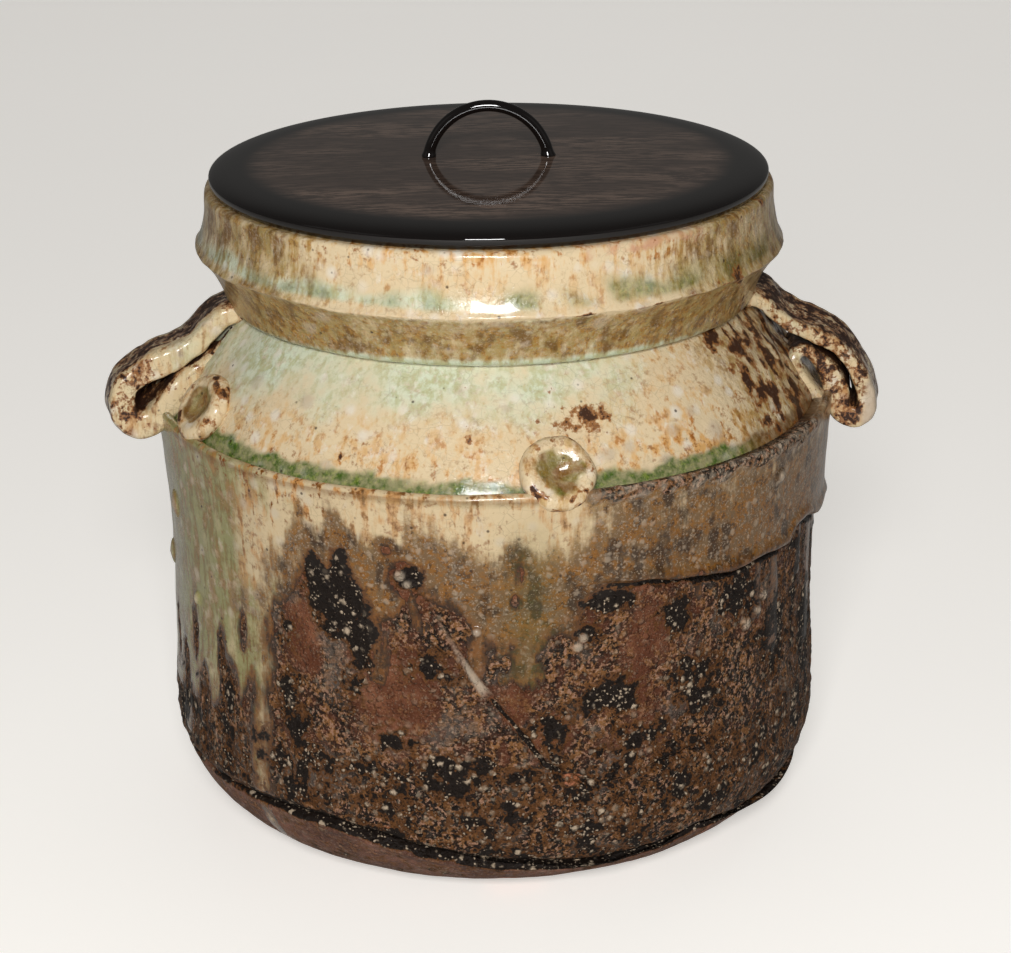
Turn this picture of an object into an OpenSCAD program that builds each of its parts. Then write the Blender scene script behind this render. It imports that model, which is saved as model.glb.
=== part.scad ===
// Lidded water jar of thick, roughly built stoneware with a black lacquered lid.
// Millimetres, +Z up. The origin is the middle of the flat base, the ears lie along X,
// and the front of the jar looks along -Y.

/* [Drum] */
// Outside diameter of the drum where the heel meets the wall
drum_d = 195; // [184:1:206]
// Height of the rough lip at the top of the drum
drum_h = 128; // [118:1:138]
// Thickness of the drum wall
wall_t = 9; // [7:0.5:12]
// How far the wall draws in at its waist
waist_in = 1.6; // [0:0.1:3]
// How far the lip flares beyond the heel
lip_flare = 0.8; // [0:0.1:2]
// Width of the lip that stands round the shoulder
lip_w = 2.8; // [2:0.1:4]
// Height of the lip above the shoulder's seat
lip_up = 2; // [1:0.1:3]

/* [Base slab] */
// Height over which the foot rounds into the wall
heel_h = 30; // [26:1:36]
// Width of that rounding, inward from the wall
heel_w = 34; // [28:1:38]
// Thickness of the floor
floor_t = 10; // [7:0.5:11]
// Rounding between the floor and the inside of the wall
floor_round = 14; // [8:1:18]
// Height of the slab's seam at the jar's axis
seam_z = 18; // [17:0.5:22]
// Lean of the seam, down towards the right ear
seam_lean = 4; // [0:0.5:4]
// Width of the crack that has opened along the seam
crack_w = 1.4; // [0.6:0.1:2.4]
// Depth of the crack on the left, where it is widest open
crack_deep = 3.5; // [2:0.1:5]

/* [Lapped band] */
// How far the upper band laps over the wall on the right
lap_out = 2.2; // [1.4:0.1:3]
// Height of the band's lower edge at the jar's axis
lap_z = 84; // [76:1:90]
// Rise of the band's lower edge, in degrees
lap_rise = 8.5; // [2:0.5:12]
// Turn of the edge's highest point to the right of the front, in degrees
lap_turn = 35; // [20:1:50]
// Step of the band on the left, where it nearly fades out
lap_least = 0.2; // [0.1:0.1:0.6]

/* [Spatula marks] */
// Radius of the tool that cut the long slanting mark
mark_r = 1.8; // [1:0.1:3]
// Height of the upper end of the long mark
mark_top = 97; // [90:1:104]
// Height of the lower end of the long mark
mark_foot = 42; // [38:1:56]
// Width of the jar that the long mark crosses
mark_run = 41; // [30:1:50]
// Length of the torn mark that turns up to the right
tear_run = 32; // [24:1:40]
// Unbroken clay between the long mark and the torn one
tear_gap = 6; // [5:0.5:12]
// Rise of the torn mark
tear_rise = 9; // [4:1:14]

/* [Shoulder] */
// Outside diameter of the neck, where the shoulder meets the collar
neck_d = 147; // [142:1:152]
// Height of the shoulder from its seat to the neck
shoulder_h = 30; // [26:1:36]
// Thickness of the shoulder, measured level
shoulder_t = 8; // [6:0.5:10]
// Outward swell of the shoulder's slope
shoulder_swell = 1.5; // [0:0.1:3]

/* [Collar] */
// Outside diameter of the collar's lower edge
collar_d = 154.6; // [153:0.2:160]
// Diameter of the sharp crease round the collar
crease_d = 170; // [166:0.5:176]
// Outside diameter of the rim
rim_d = 164; // [161:0.5:167]
// Height of the crease above the neck
crease_h = 16; // [13:0.5:19]
// Height of the rim above the neck
rim_h = 33; // [29:0.5:38]
// Thickness of the folded clay at the rim
collar_t = 7; // [6:0.2:8.4]
// How far the collar's two faces are hollowed between their edges
collar_hollow = 1; // [0:0.1:2]
// Rounding of the rim and of the lower edge
collar_round = 1.6; // [0.8:0.1:2]

/* [Lid] */
// Diameter of the lid
lid_d = 161.2; // [159:0.2:166]
// Thickness of the lid at its middle
lid_t = 6.1; // [5.4:0.1:8]
// Height of the lid's widest line above the rim
lid_nose = 2.8; // [1.5:0.1:3.5]
// Width of the turned slope from the flat top to the edge
lid_slope = 11; // [6:0.5:16]
// Fall from the lid's middle to the top of that slope
lid_crown = 0.8; // [0.2:0.1:1.2]
// Undercut from the lid's widest line in to its lower edge
lid_under = 1.4; // [0.6:0.1:2]
// Depth of the ring that locates the lid in the mouth
ring_h = 5; // [3:0.5:8]
// Thickness of that ring
ring_t = 4.5; // [3:0.5:7]
// Gap between the ring and the mouth, all round
ring_gap = 1.2; // [0.6:0.1:2.5]

/* [Handle] */
// Outside width of the arch
handle_w = 38; // [34:0.5:44]
// Height of the arch above the lid
handle_h = 16.3; // [14:0.1:18]
// Thickness of the bent rod
rod_d = 3.4; // [2.8:0.1:4]
// Depth of the tenons in the lid
tenon_l = 3.6; // [2.5:0.1:4]
// Width of the lacquer fillet round each foot of the arch
foot_fillet = 0.9; // [0.4:0.1:1.5]
// Gap round a tenon in its mortise
tenon_gap = 0.1; // [0.05:0.05:0.2]

/* [Ears] */
// Thickness of the left ear's strap
left_strap_t = 6.6; // [5:0.2:7]
// Thickness of the left ear at the tip of its loop
left_tip_t = 8.6; // [6.6:0.2:9.2]
// Thickness of the right ear's strap at its root
right_strap_t = 5; // [4:0.2:5.4]
// Thickness of the right ear at the tip of its loop
right_tip_t = 6; // [5:0.2:6.4]
// Thickness of the right ear's end, pressed on the slope
right_end_t = 4; // [3:0.2:4.6]
// Width of a strap at its root
strap_root_w = 26; // [22:1:32]
// Width of a strap at the tip of its loop
strap_tip_w = 18; // [15:1:26]
// Turn of the left ear towards the front, in degrees
left_ear_turn = 12; // [4:1:14]
// Turn of the right ear towards the front, in degrees
right_ear_turn = 4; // [0:1:10]
// Roll of the left ear, its back edge down, in degrees
left_ear_roll = 5; // [0:1:8]
// Lean of the right ear's outer limb, its front edge down, in degrees
right_ear_lean = 4; // [0:1:8]

/* [Pellets] */
// Diameter of a pellet
pellet_d = 20.5; // [17:0.5:23]
// Height of a pellet's rim above the shoulder
pellet_t = 5.6; // [4:0.2:7]
// Depth of the thumb's dimple
dimple = 2.2; // [1:0.1:3]
// Turn of the front pellet to the right of the front, in degrees
front_pellet_turn = 10.5; // [5:0.5:16]
// Turn of the left pellet to the left of the front, in degrees
left_pellet_turn = 60.5; // [55:0.5:62]
// Distance of the front pellet's middle up the shoulder from its seat
front_pellet_up = 5; // [4:0.5:8]
// Distance of the left pellet's middle up the shoulder from its seat
left_pellet_up = 9; // [7:0.5:11]

/* [Joints of the clay] */
// Gap left where a strap or pellet is pressed on the jar
press_gap = 0.05; // [0.02:0.01:0.1]

/* [Hidden] */
$fn = 120;

drum_r = drum_d / 2;
lip_r = drum_r + lip_flare;
seat_z = drum_h - lip_up;
seat_r = lip_r - lip_w;
neck_r = neck_d / 2;
neck_z = seat_z + shoulder_h;
rim_r = rim_d / 2;
rim_z = neck_z + rim_h;
mouth_r = rim_r - collar_t;
lid_r = lid_d / 2;
lid_top = rim_z + lid_t;
beyond = 400;

// Curves used by the outlines
function oval(centre, rx, ry, from, to, steps) = [
    for (i = [0:steps])
        let (a = from + (to - from) * i / steps)
            [centre[0] + rx * cos(a), centre[1] + ry * sin(a)]
];
function bend(a, b, c, steps) = [
    for (i = [0:steps])
        let (t = i / steps)
            (1 - t) * (1 - t) * a + 2 * t * (1 - t) * b + t * t * c
];
function reversed(list) = [for (i = [len(list) - 1:-1:0]) list[i]];

// Side of the drum from the edge of the flat base up to the lip, or to some steps below it
side_steps = 8;
lip_arc = lip_w / 2;
function side_z(i) = heel_h + (drum_h - lip_arc - heel_h) * i / side_steps;
function drum_side(steps) = concat(
    oval([drum_r - heel_w, heel_h], heel_w, heel_h, -90, 0, 14),
    [
        for (i = [1:steps])
            let (s = i / side_steps)
                [drum_r + lip_flare * s - waist_in * sin(180 * s), side_z(i)]
    ]
);
function lip_outline(grow) =
    oval([lip_r - lip_arc, drum_h - lip_arc + grow], lip_arc + grow, lip_arc + grow, 30, 180, 5);

// Slope of the shoulder from its seat up to the neck
function shoulder_outline() =
    let (foot = [seat_r, seat_z], top = [neck_r, neck_z], along = top - foot)
        bend(
            foot,
            (foot + top) / 2 + 2 * shoulder_swell * [along[1], -along[0]] / norm(along),
            top,
            6
        );

// Outside of the collar from its lower edge over the crease to the rim
collar_low = [collar_d / 2, neck_z + collar_round];
crease = [crease_d / 2, neck_z + crease_h];
collar_high = [rim_r, rim_z - collar_round];
function hollow_between(a, b) =
    let (along = b - a)
        bend(a, (a + b) / 2 + 2 * collar_hollow * [-along[1], along[0]] / norm(along), b, 6);
function collar_outline() = concat(
    oval(collar_low - [collar_round, 0], collar_round, collar_round, -90, -15, 3),
    hollow_between(collar_low, crease),
    hollow_between(crease, collar_high),
    oval(collar_high - [collar_round, 0], collar_round, collar_round, 15, 90, 3)
);

// Jar as one filled form, grown a little: what is pressed on is trimmed by it
module pressed_skin() {
    lower_drum(press_gap);
    lapped_band(press_gap);
    grow = [press_gap, 0];
    rotate_extrude()
        polygon(concat(
            [[0, seat_z - lip_up]],
            [[seat_r, seat_z - lip_up]],
            [for (p = shoulder_outline()) p + grow],
            [[0, neck_z]]
        ));
    rotate_extrude()
        polygon(concat(
            [[0, neck_z - press_gap]],
            [for (p = collar_outline()) p + grow - [0, press_gap]],
            [[0, rim_z]]
        ));
}

// Drum without its lip, which belongs to the lapped band
module lower_drum(grow = 0) {
    steps = side_steps - 1;
    rotate_extrude()
        polygon(concat(
            [[0, 0]],
            [for (p = drum_side(steps)) p + [grow, 0]],
            [[0, side_z(steps)]]
        ));
}

// Upper band of the wall with the lip, set over to the right: flush on the left, proud on the right
module lapped_band(grow = 0) {
    outline = concat([for (p = drum_side(side_steps)) p + [grow, 0]], lip_outline(grow));
    intersection() {
        translate([lap_out / 2, 0, 0])
            rotate_extrude()
                polygon(concat(
                    [[0, 0]],
                    [for (p = outline) p + [lap_out / 2 + lap_least, 0]],
                    [[0, drum_h + grow]]
                ));
        translate([0, 0, lap_z])
            rotate([-lap_rise, 0, lap_turn])
                translate([-beyond, -beyond, 0])
                    cube(2 * beyond);
    }
}

// Room inside the drum, open upward through the shoulder's seat
module drum_room() {
    room_r = drum_r - wall_t;
    rotate_extrude()
        polygon(concat(
            [[0, floor_t]],
            oval([room_r - floor_round, floor_t + floor_round], floor_round, floor_round, -90, 0, 6),
            [[room_r, seat_z], [seat_r, seat_z], [seat_r, beyond], [0, beyond]]
        ));
}

module below_seam() {
    translate([0, 0, seam_z])
        rotate([0, seam_lean, 0])
            translate([-beyond, -beyond, -2 * beyond])
                cube(2 * beyond);
}

// The crack is a level ring in the seam's own plane, so it closes where the heel falls away
module seam_crack() {
    translate([0, 0, seam_z])
        rotate([0, seam_lean, 0])
            rotate_extrude()
                translate([drum_r - crack_deep, -crack_w])
                    square([heel_w, 2 * crack_w]);
}

// Straight tool stroke between two points
module stroke(from, to, radius) {
    run = to - from;
    lean = acos(run[2] / norm(run));
    swing = atan2(run[1], run[0]);
    translate(from)
        rotate([0, lean, swing])
            cylinder(r = radius, h = norm(run));
}

function on_drum(x, z) = [x, -sqrt(drum_r * drum_r - x * x), z];

module spatula_marks() {
    tear_x = mark_run / 2 + tear_gap;
    stroke(on_drum(-mark_run / 2, mark_top), on_drum(mark_run / 2, mark_foot), mark_r);
    stroke(on_drum(tear_x, mark_foot), on_drum(tear_x + tear_run, mark_foot + tear_rise), mark_r);
}

module base_slab() {
    color("rosybrown")
        difference() {
            intersection() {
                lower_drum();
                below_seam();
            }
            drum_room();
            seam_crack();
        }
}

module wall() {
    color("tan")
        difference() {
            union() {
                lower_drum();
                lapped_band();
            }
            drum_room();
            below_seam();
            spatula_marks();
        }
}

module shoulder() {
    inward = [shoulder_t, 0];
    color("palegoldenrod")
        rotate_extrude()
            polygon(concat(
                shoulder_outline(),
                reversed([for (p = shoulder_outline()) p - inward])
            ));
}

module collar() {
    room_r = neck_r - shoulder_t;
    color("wheat")
        rotate_extrude()
            polygon(concat(
                [[room_r, neck_z]],
                collar_outline(),
                oval([mouth_r + collar_round, rim_z - collar_round], collar_round, collar_round, 90, 180, 3),
                [crease - [collar_t, 0]]
            ));
}

// Smooth path through hand-chosen points, with an extra point at either end to set its direction
function glide(a, b, c, d, t) =
    (2 * b + (c - a) * t + (2 * a - 5 * b + 4 * c - d) * t * t + (3 * b - a - 3 * c + d) * t * t * t) / 2;
function path_through(points, steps) = [
    for (i = [1:len(points) - 3], j = [0:steps - 1])
        glide(points[i - 1], points[i], points[i + 1], points[i + 2], j / steps)
];

// Section of a strap: a flat oval with full, soft edges
softness = 0.6;
function soft(v) = sign(v) * pow(abs(v), softness);

// Strap of clay swept along a path in the XZ plane, widest at its two roots and thickest at the tip.
// Its first limb may lean, and stands level again at the tip of the loop.
level_from = 0.5;
level_over = 0.2;
tip_over = 0.24;
function share_of_tip(t, tip_at) = (1 + cos(180 * min(1, abs(t - tip_at) / tip_over))) / 2;
module strap(path, tip_at, root_t, tip_t, end_t, lean) {
    sides = 16;
    rings = len(path);
    points = [
        for (i = [0:rings - 1])
            let (
                t = i / (rings - 1),
                along = path[min(i + 1, rings - 1)] - path[max(i - 1, 0)],
                across = [-along[1], along[0]] / norm(along),
                root = abs(2 * t - 1),
                wide = strap_tip_w + (strap_root_w - strap_tip_w) * root * root,
                plain_t = t < tip_at ? root_t : end_t,
                thick = plain_t + (tip_t - plain_t) * share_of_tip(t, tip_at),
                tilt = lean * max(0, min(1, (level_from - t) / level_over))
            )
                for (k = [0:sides - 1])
                    let (
                        a = 360 * k / sides,
                        off = soft(cos(a)) * thick / 2,
                        aside = soft(sin(a)) * wide / 2,
                        place = path[i] + across * (off * cos(tilt) + aside * sin(tilt))
                    )
                        [place[0], aside * cos(tilt) - off * sin(tilt), place[1]]
    ];
    skin = [
        for (i = [0:rings - 2], k = [0:sides - 1])
            let (
                a = i * sides + k,
                b = i * sides + (k + 1) % sides
            )
                each [[a, b, b + sides], [a, b + sides, a + sides]]
    ];
    start = [for (k = [1:sides - 2]) [0, k + 1, k]];
    last = (rings - 1) * sides;
    finish = [for (k = [1:sides - 2]) [last, last + k, last + k + 1]];
    polyhedron(points, concat(skin, start, finish));
}

// The shoulder's slope, up from its seat and square off it: what is pressed on follows it
slope_up = [neck_r - seat_r, shoulder_h] / norm([neck_r - seat_r, shoulder_h]);
slope_off = [slope_up[1], -slope_up[0]];
function along_slope(p) = p[0] * slope_up + p[1] * slope_off;

// Route of the left ear: out from under the collar, round a drooping tip and back below itself.
// Each point is a distance up the slope and one off it, in millimetres.
left_route = [
    [41, -8], [37.5, -1.4], [32.5, 3.3], [27, 4.6], [21.5, 5.5], [16.5, 7.8], [12, 11.2], [7, 14.3],
    [1, 15.7], [-4, 14.4], [-7.6, 11.2], [-8, 6.8], [-4.8, 3.4], [0.6, 2.2], [7, 1.2], [13.5, -0.3],
    [20, -1.8], [26, -2.8], [31, -3.4], [35, -3.8]
];

// Route of the right ear: the same loop, but folded back once more with its end pressed on the slope
right_route = [
    [39, -8], [37, 1], [33, 4.6], [27.5, 5.4], [22, 7.4], [16, 10.8], [9.5, 13.8], [3, 14.8], [-3.5, 14.2],
    [-9, 12.4], [-12.8, 9.2], [-13, 5.2], [-9.4, 2.6], [-4.8, 3.6], [-0.4, 5.4], [4, 6.3], [8, 6.6],
    [11, 6.5], [13.1, 5.6], [14, 3.5], [13.1, 1.4], [11, 0.5], [7.6, 0.3], [3, 0.3], [-1, 0.3], [-5, 0.4]
];
route_steps = 4;

// The tip of a route is its point farthest down the slope
function tip_of(route) =
    let (heights = [for (p = route) p[0]])
        (search(min(heights), heights)[0] - 1) / (len(route) - 3);

module ear(route, root_t, tip_t, end_t, turn, roll, lean) {
    path = path_through([for (p = route) along_slope(p)], route_steps);
    difference() {
        rotate([0, 0, turn])
            translate([seat_r, 0, seat_z])
                rotate([roll, 0, 0])
                    strap(path, tip_of(route), root_t, tip_t, end_t, lean);
        pressed_skin();
    }
}

module left_ear() {
    color("saddlebrown")
        ear(left_route, left_strap_t, left_tip_t, left_strap_t, 180 + left_ear_turn, left_ear_roll, 0);
}

module right_ear() {
    color("peru")
        ear(right_route, right_strap_t, right_tip_t, right_end_t, -right_ear_turn, 0, right_ear_lean);
}

// Clay button with a thumb's dimple, square to the shoulder's slope
module pellet(turn, up) {
    middle = [seat_r, seat_z] + up * slope_up;
    side_r = pellet_t / 2;
    brim_r = pellet_d / 2 - side_r;
    sunk = pellet_d / 2;
    difference() {
        rotate([0, 0, turn])
            translate([middle[0], 0, middle[1]])
                rotate([0, acos(slope_off[1]), 0])
                    rotate_extrude()
                        polygon(concat(
                            [[0, -sunk], [brim_r + side_r / 2, -sunk]],
                            oval([brim_r, pellet_t - side_r], side_r, side_r, -30, 90, 6),
                            [
                                for (s = [0.75:-0.25:0])
                                    [brim_r * s, pellet_t - dimple * (1 + cos(180 * s)) / 2]
                            ]
                        ));
        pressed_skin();
    }
}

module front_pellet() {
    color("khaki")
        pellet(front_pellet_turn - 90, front_pellet_up);
}

module left_pellet() {
    color("darkkhaki")
        pellet(-left_pellet_turn - 90, left_pellet_up);
}

// The arch is one arc that springs from a centre below the lid's top
rod_r = rod_d / 2;
arch_r = (handle_w * handle_w / 4 + handle_h * handle_h) / (2 * handle_h) - rod_r;
arch_z = handle_h - rod_r - arch_r;
foot_x = sqrt(arch_r * arch_r - arch_z * arch_z);
mortise_l = tenon_l + tenon_gap;

module lid_board() {
    ring_r = mouth_r - ring_gap;
    edge = [lid_r, lid_nose];
    under = [lid_r - lid_under, 0];
    brow = [lid_r - lid_slope, lid_t - lid_crown];
    color("black")
        translate([0, 0, rim_z])
            difference() {
                rotate_extrude()
                    polygon(concat(
                        [[0, 0], [ring_r - ring_t, 0], [ring_r - ring_t, -ring_h]],
                        [[ring_r, -ring_h], [ring_r, 0]],
                        bend(under, [lid_r, lid_nose / 3], edge, 4),
                        bend(edge, [lid_r, brow[1] - lid_crown / 4], brow, 6),
                        bend(brow, [brow[0] / 2, lid_t], [0, lid_t], 6)
                    ));
                for (side = [-1, 1])
                    translate([side * foot_x, 0, lid_t - mortise_l])
                        cylinder(r = rod_r + tenon_gap, h = mortise_l + lid_crown);
            }
}

// Bent rod with two straight tenons, and a cone of lacquer round each foot
module lid_handle() {
    spring = asin((foot_fillet / 2 - arch_z) / arch_r);
    color("black")
        translate([0, 0, lid_top]) {
            translate([0, 0, arch_z])
                rotate([90, 0, 0])
                    rotate([0, 0, spring])
                        rotate_extrude(angle = 180 - 2 * spring)
                            translate([arch_r, 0])
                                circle(r = rod_r);
            for (side = [-1, 1])
                translate([side * foot_x, 0, 0]) {
                    translate([0, 0, -tenon_l])
                        cylinder(r = rod_r, h = tenon_l + foot_fillet / 2);
                    cylinder(r1 = rod_r + foot_fillet, r2 = rod_r - foot_fillet / 2, h = 1.5 * foot_fillet);
                }
        }
}

base_slab();
wall();
shoulder();
collar();
left_ear();
right_ear();
front_pellet();
left_pellet();
lid_board();
lid_handle();
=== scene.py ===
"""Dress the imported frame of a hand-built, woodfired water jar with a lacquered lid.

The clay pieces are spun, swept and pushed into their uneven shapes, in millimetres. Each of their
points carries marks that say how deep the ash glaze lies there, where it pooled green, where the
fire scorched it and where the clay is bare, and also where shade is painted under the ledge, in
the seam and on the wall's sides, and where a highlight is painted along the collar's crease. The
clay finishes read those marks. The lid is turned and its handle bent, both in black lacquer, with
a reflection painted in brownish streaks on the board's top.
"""
import logging
import math
import random
from bisect import bisect_right
from dataclasses import dataclass, field
from enum import Enum
from typing import Callable, Sequence

import bmesh
import bpy
from mathutils import Matrix, Vector, noise


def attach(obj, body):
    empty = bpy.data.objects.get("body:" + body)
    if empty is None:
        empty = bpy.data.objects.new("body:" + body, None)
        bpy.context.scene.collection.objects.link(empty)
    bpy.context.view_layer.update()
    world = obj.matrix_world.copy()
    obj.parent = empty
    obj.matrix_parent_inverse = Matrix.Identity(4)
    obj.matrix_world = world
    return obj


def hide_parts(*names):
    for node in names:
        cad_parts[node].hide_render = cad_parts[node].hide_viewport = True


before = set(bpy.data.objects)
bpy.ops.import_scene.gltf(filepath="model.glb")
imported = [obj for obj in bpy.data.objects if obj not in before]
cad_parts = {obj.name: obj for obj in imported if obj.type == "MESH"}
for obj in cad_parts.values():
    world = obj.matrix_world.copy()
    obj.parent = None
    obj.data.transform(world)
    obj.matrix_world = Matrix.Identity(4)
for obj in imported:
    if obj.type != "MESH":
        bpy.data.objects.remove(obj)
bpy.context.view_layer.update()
LOG = logging.getLogger("water_jar")

MM = 0.001
SPIN_STEPS = 400
FULL_GLAZE = 40.0
NO_GLAZE = -9.0
Outline = list[tuple[float, float]]
Curve = tuple[tuple[float, float], ...]
Colour = tuple[float, float, float, float]
Socket = bpy.types.NodeSocket


class Body(Enum):
    """Bodies of the frame that a piece can ride on."""

    JAR = "jar"
    LID = "lid"


class Slot(Enum):
    """Material slots of the record."""

    RAW_CLAY = "raw_clay"
    WALL_GLAZE = "wall_glaze"
    PALE_GLAZE = "pale_glaze"
    EAR_GLAZE = "ear_glaze"
    LACQUER = "lacquer"


class Mark(Enum):
    """Marks of the kiln that every clay point carries, with painted shade and painted sheen among
    them; the lid board carries them too.
    """

    GLAZE = "glaze"
    MINT = "mint"
    MOSS = "moss"
    HAZE = "haze"
    # Scorching of the fire, and painted shade under the wall's ledge, in the seam above the slab
    # and on the wall's sides.
    SCORCH = "scorch"
    CRUST = "crust"
    STONE = "stone"
    BLUSH = "blush"
    # Rusty stain; on the collar it dips for a painted highlight along the crease, and on the lid
    # board it places the painted reflection.
    RUST = "rust"


Paint = dict[Mark, float]
INSIDE_PAINT: Paint = {Mark.GLAZE: FULL_GLAZE, Mark.RUST: 0.3, Mark.MINT: 0.2}


def ease(low: float, high: float, value: float) -> float:
    """Rise smoothly from 0 at low to 1 at high, which may be the lower of the two."""
    share = min(1.0, max(0.0, (value - low) / (high - low)))
    return share * share * (3.0 - 2.0 * share)


def plateau(start: float, full: float, last: float, end: float, value: float) -> float:
    """Rise smoothly from 0 at start to 1 at full, and fall from 1 at last to 0 at end."""
    return ease(start, full, value) * ease(end, last, value)


def bell(value: float, width: float) -> float:
    """Rounded hill that is 1 at zero and has sunk to about a third at the width."""
    return math.exp(-(value / width) ** 2)


def tone(red: int, green: int, blue: int) -> Colour:
    """Turn a colour as seen on a screen into linear light.

    Args:
        red: Red from 0 to 255.
        green: Green from 0 to 255.
        blue: Blue from 0 to 255.

    Returns:
        Linear colour with full alpha.
    """
    def linear(part: int) -> float:
        """Undo the screen's curve."""
        share = part / 255.0
        return share / 12.92 if share <= 0.04045 else ((share + 0.055) / 1.055) ** 2.4

    return linear(red), linear(green), linear(blue), 1.0


def follow(points: Sequence[tuple[float, float]], where: float) -> float:
    """Read a curve that passes smoothly from one given point to the next.

    Args:
        points: Pairs of position and value, in rising order of position.
        where: Position to read.

    Returns:
        Value of the curve there.
    """
    after = bisect_right(points, where, key=lambda point: point[0])
    if after == 0 or after == len(points):
        return points[min(after, len(points) - 1)][1]
    (a, low), (b, high) = points[after - 1], points[after]
    return low + (high - low) * ease(a, b, where)


def arc(centre: tuple[float, float], radius: float, start: float, end: float,
        steps: int) -> Outline:
    """Points on an arc about a centre, from one angle in degrees to another."""
    angles = [math.radians(start + (end - start) * i / steps) for i in range(steps + 1)]
    return [(centre[0] + radius * math.cos(a), centre[1] + radius * math.sin(a)) for a in angles]


def line(start: tuple[float, float], end: tuple[float, float], steps: int) -> Outline:
    """Points on a straight stretch of an outline, without its end."""
    a, b = Vector(start), Vector(end)
    return [tuple(a.lerp(b, i / steps)) for i in range(steps)]


def bend(start: Vector, pull: Vector, end: Vector, share: float) -> Vector:
    """Point on a curve that leaves a start towards a pull and comes to an end."""
    return start.lerp(pull, share).lerp(pull.lerp(end, share), share)


def bow(start: Vector, pull: Vector, end: Vector, steps: int) -> Outline:
    """Points on such a curve, in equal steps and without its end."""
    return [tuple(bend(start, pull, end, i / steps)) for i in range(steps)]


def wander(azimuth: float, bends: float, seed: float) -> float:
    """Uneven line round the jar, from about -1 to 1, which closes on itself."""
    turn = math.radians(azimuth)
    return noise.noise(Vector((math.sin(turn) * bends, math.cos(turn) * bends, seed)))


def turn_between(start: float, end: float) -> float:
    """Degrees from one azimuth to another, to the right, from -180 to 180."""
    return (end - start + 180.0) % 360.0 - 180.0


@dataclass(frozen=True)
class Place:
    """Point of the clay: degrees right of the front, height and radius, in millimetres."""

    azimuth: float
    height: float
    radius: float
    point: Vector

    @classmethod
    def of(cls, point: Vector) -> "Place":
        """Read a point that is given in millimetres."""
        azimuth = math.degrees(math.atan2(point.x, -point.y))
        return cls(azimuth, point.z, math.hypot(point.x, point.y), point.copy())

    @property
    def shown(self) -> float:
        """1 on the sides that the photograph shows, easing to 0 at the middle of the back."""
        return ease(178.0, 130.0, abs(self.azimuth))

    @property
    def outward(self) -> Vector:
        """Level direction from the jar's axis to the point."""
        return Vector((self.point.x, self.point.y, 0.0)).normalized()

    def lump(self, size: float, seed: float = 0.0) -> float:
        """Smooth unevenness from about -1 to 1, with lumps of a size in millimetres."""
        return noise.noise(self.point / size + Vector((seed, 1.7 * seed, -seed)))

    def lumps(self, *layers: tuple[float, ...]) -> float:
        """Sum of lumps, each given by its rise in millimetres, its size and its seed."""
        return sum(rise * self.lump(*pattern) for rise, *pattern in layers)

    def drag(self, size: float, tall: float, seed: float = 0.0) -> float:
        """Unevenness drawn out up and down, as glaze runs, with its width and height."""
        spot = Vector((self.point.x / size + seed, self.point.y / size, self.height / tall))
        return noise.noise(spot)

    def across(self, azimuth: float) -> float:
        """Millimetres along the clay from an azimuth to this place."""
        return math.radians(turn_between(azimuth, self.azimuth)) * self.radius


@dataclass(frozen=True)
class Blot:
    """Patch on the clay, with its half width and half height in millimetres and its strength."""

    azimuth: float
    height: float
    half_w: float
    half_h: float
    strength: float = 1.0

    @property
    def reach(self) -> float:
        """Degrees from the middle that the patch can reach, ragged edges included."""
        return self.half_w * 0.8 + 2.0

    def at(self, place: Place) -> float:
        """Share of the patch at a place: its strength in the middle, falling below 0 outside."""
        wide = place.across(self.azimuth) / self.half_w
        return self.strength * (1.0 - math.hypot(wide, (place.height - self.height) / self.half_h))


@dataclass(frozen=True)
class Run:
    """Run of glaze down the wall, with the height of its tip and its width in millimetres."""

    azimuth: float
    tip: float
    width: float

    @property
    def reach(self) -> float:
        """Degrees from the middle that the run can reach."""
        return self.width * 0.6 + 3.0

    def at(self, place: Place) -> float:
        """Distance of a place inside the run's edge, in millimetres.

        Args:
            place: Place on the wall.

        Returns:
            Distance, below 0 outside the run.
        """
        sway = 1.8 * noise.noise(Vector((self.azimuth, place.height / 17.0, 0.0)))
        uneven = noise.noise(Vector((place.height / 9.0, self.azimuth, 3.0)))
        half = self.width * (0.42 + 0.2 * uneven)
        below = max(0.0, self.tip + half - place.height)
        return half - math.hypot(place.across(self.azimuth) + sway, below)


class Scatter:
    """Blots or runs round the jar, found by the sector that they reach into."""

    SECTOR = 10
    NOWHERE = -20.0

    def __init__(self, marks: Sequence[Blot | Run]) -> None:
        """Keep the marks and find the sectors as they are asked for."""
        self.marks = tuple(marks)
        self.sectors: dict[int, list[Blot | Run]] = {}

    def top(self, place: Place) -> float:
        """Strongest of the marks at a place.

        Args:
            place: Place on the clay.

        Returns:
            Its value, far below 0 where none comes near.
        """
        sector = int(place.azimuth // self.SECTOR)
        if sector not in self.sectors:
            middle = (sector + 0.5) * self.SECTOR
            half = self.SECTOR / 2
            self.sectors[sector] = [
                mark for mark in self.marks
                if abs(turn_between(middle, mark.azimuth)) < half + mark.reach
            ]
        return max((mark.at(place) for mark in self.sectors[sector]), default=self.NOWHERE)

    def share(self, place: Place) -> float:
        """Share of the strongest blot at a place, from 0 to 1, with a soft edge."""
        return min(1.0, max(0.0, self.top(place)))


def scattered(kind: type[Blot] | type[Run], *rows: tuple[float, ...]) -> Scatter:
    """Blots or runs round the jar, from rows of their values."""
    return Scatter([kind(*row) for row in rows])


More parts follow.
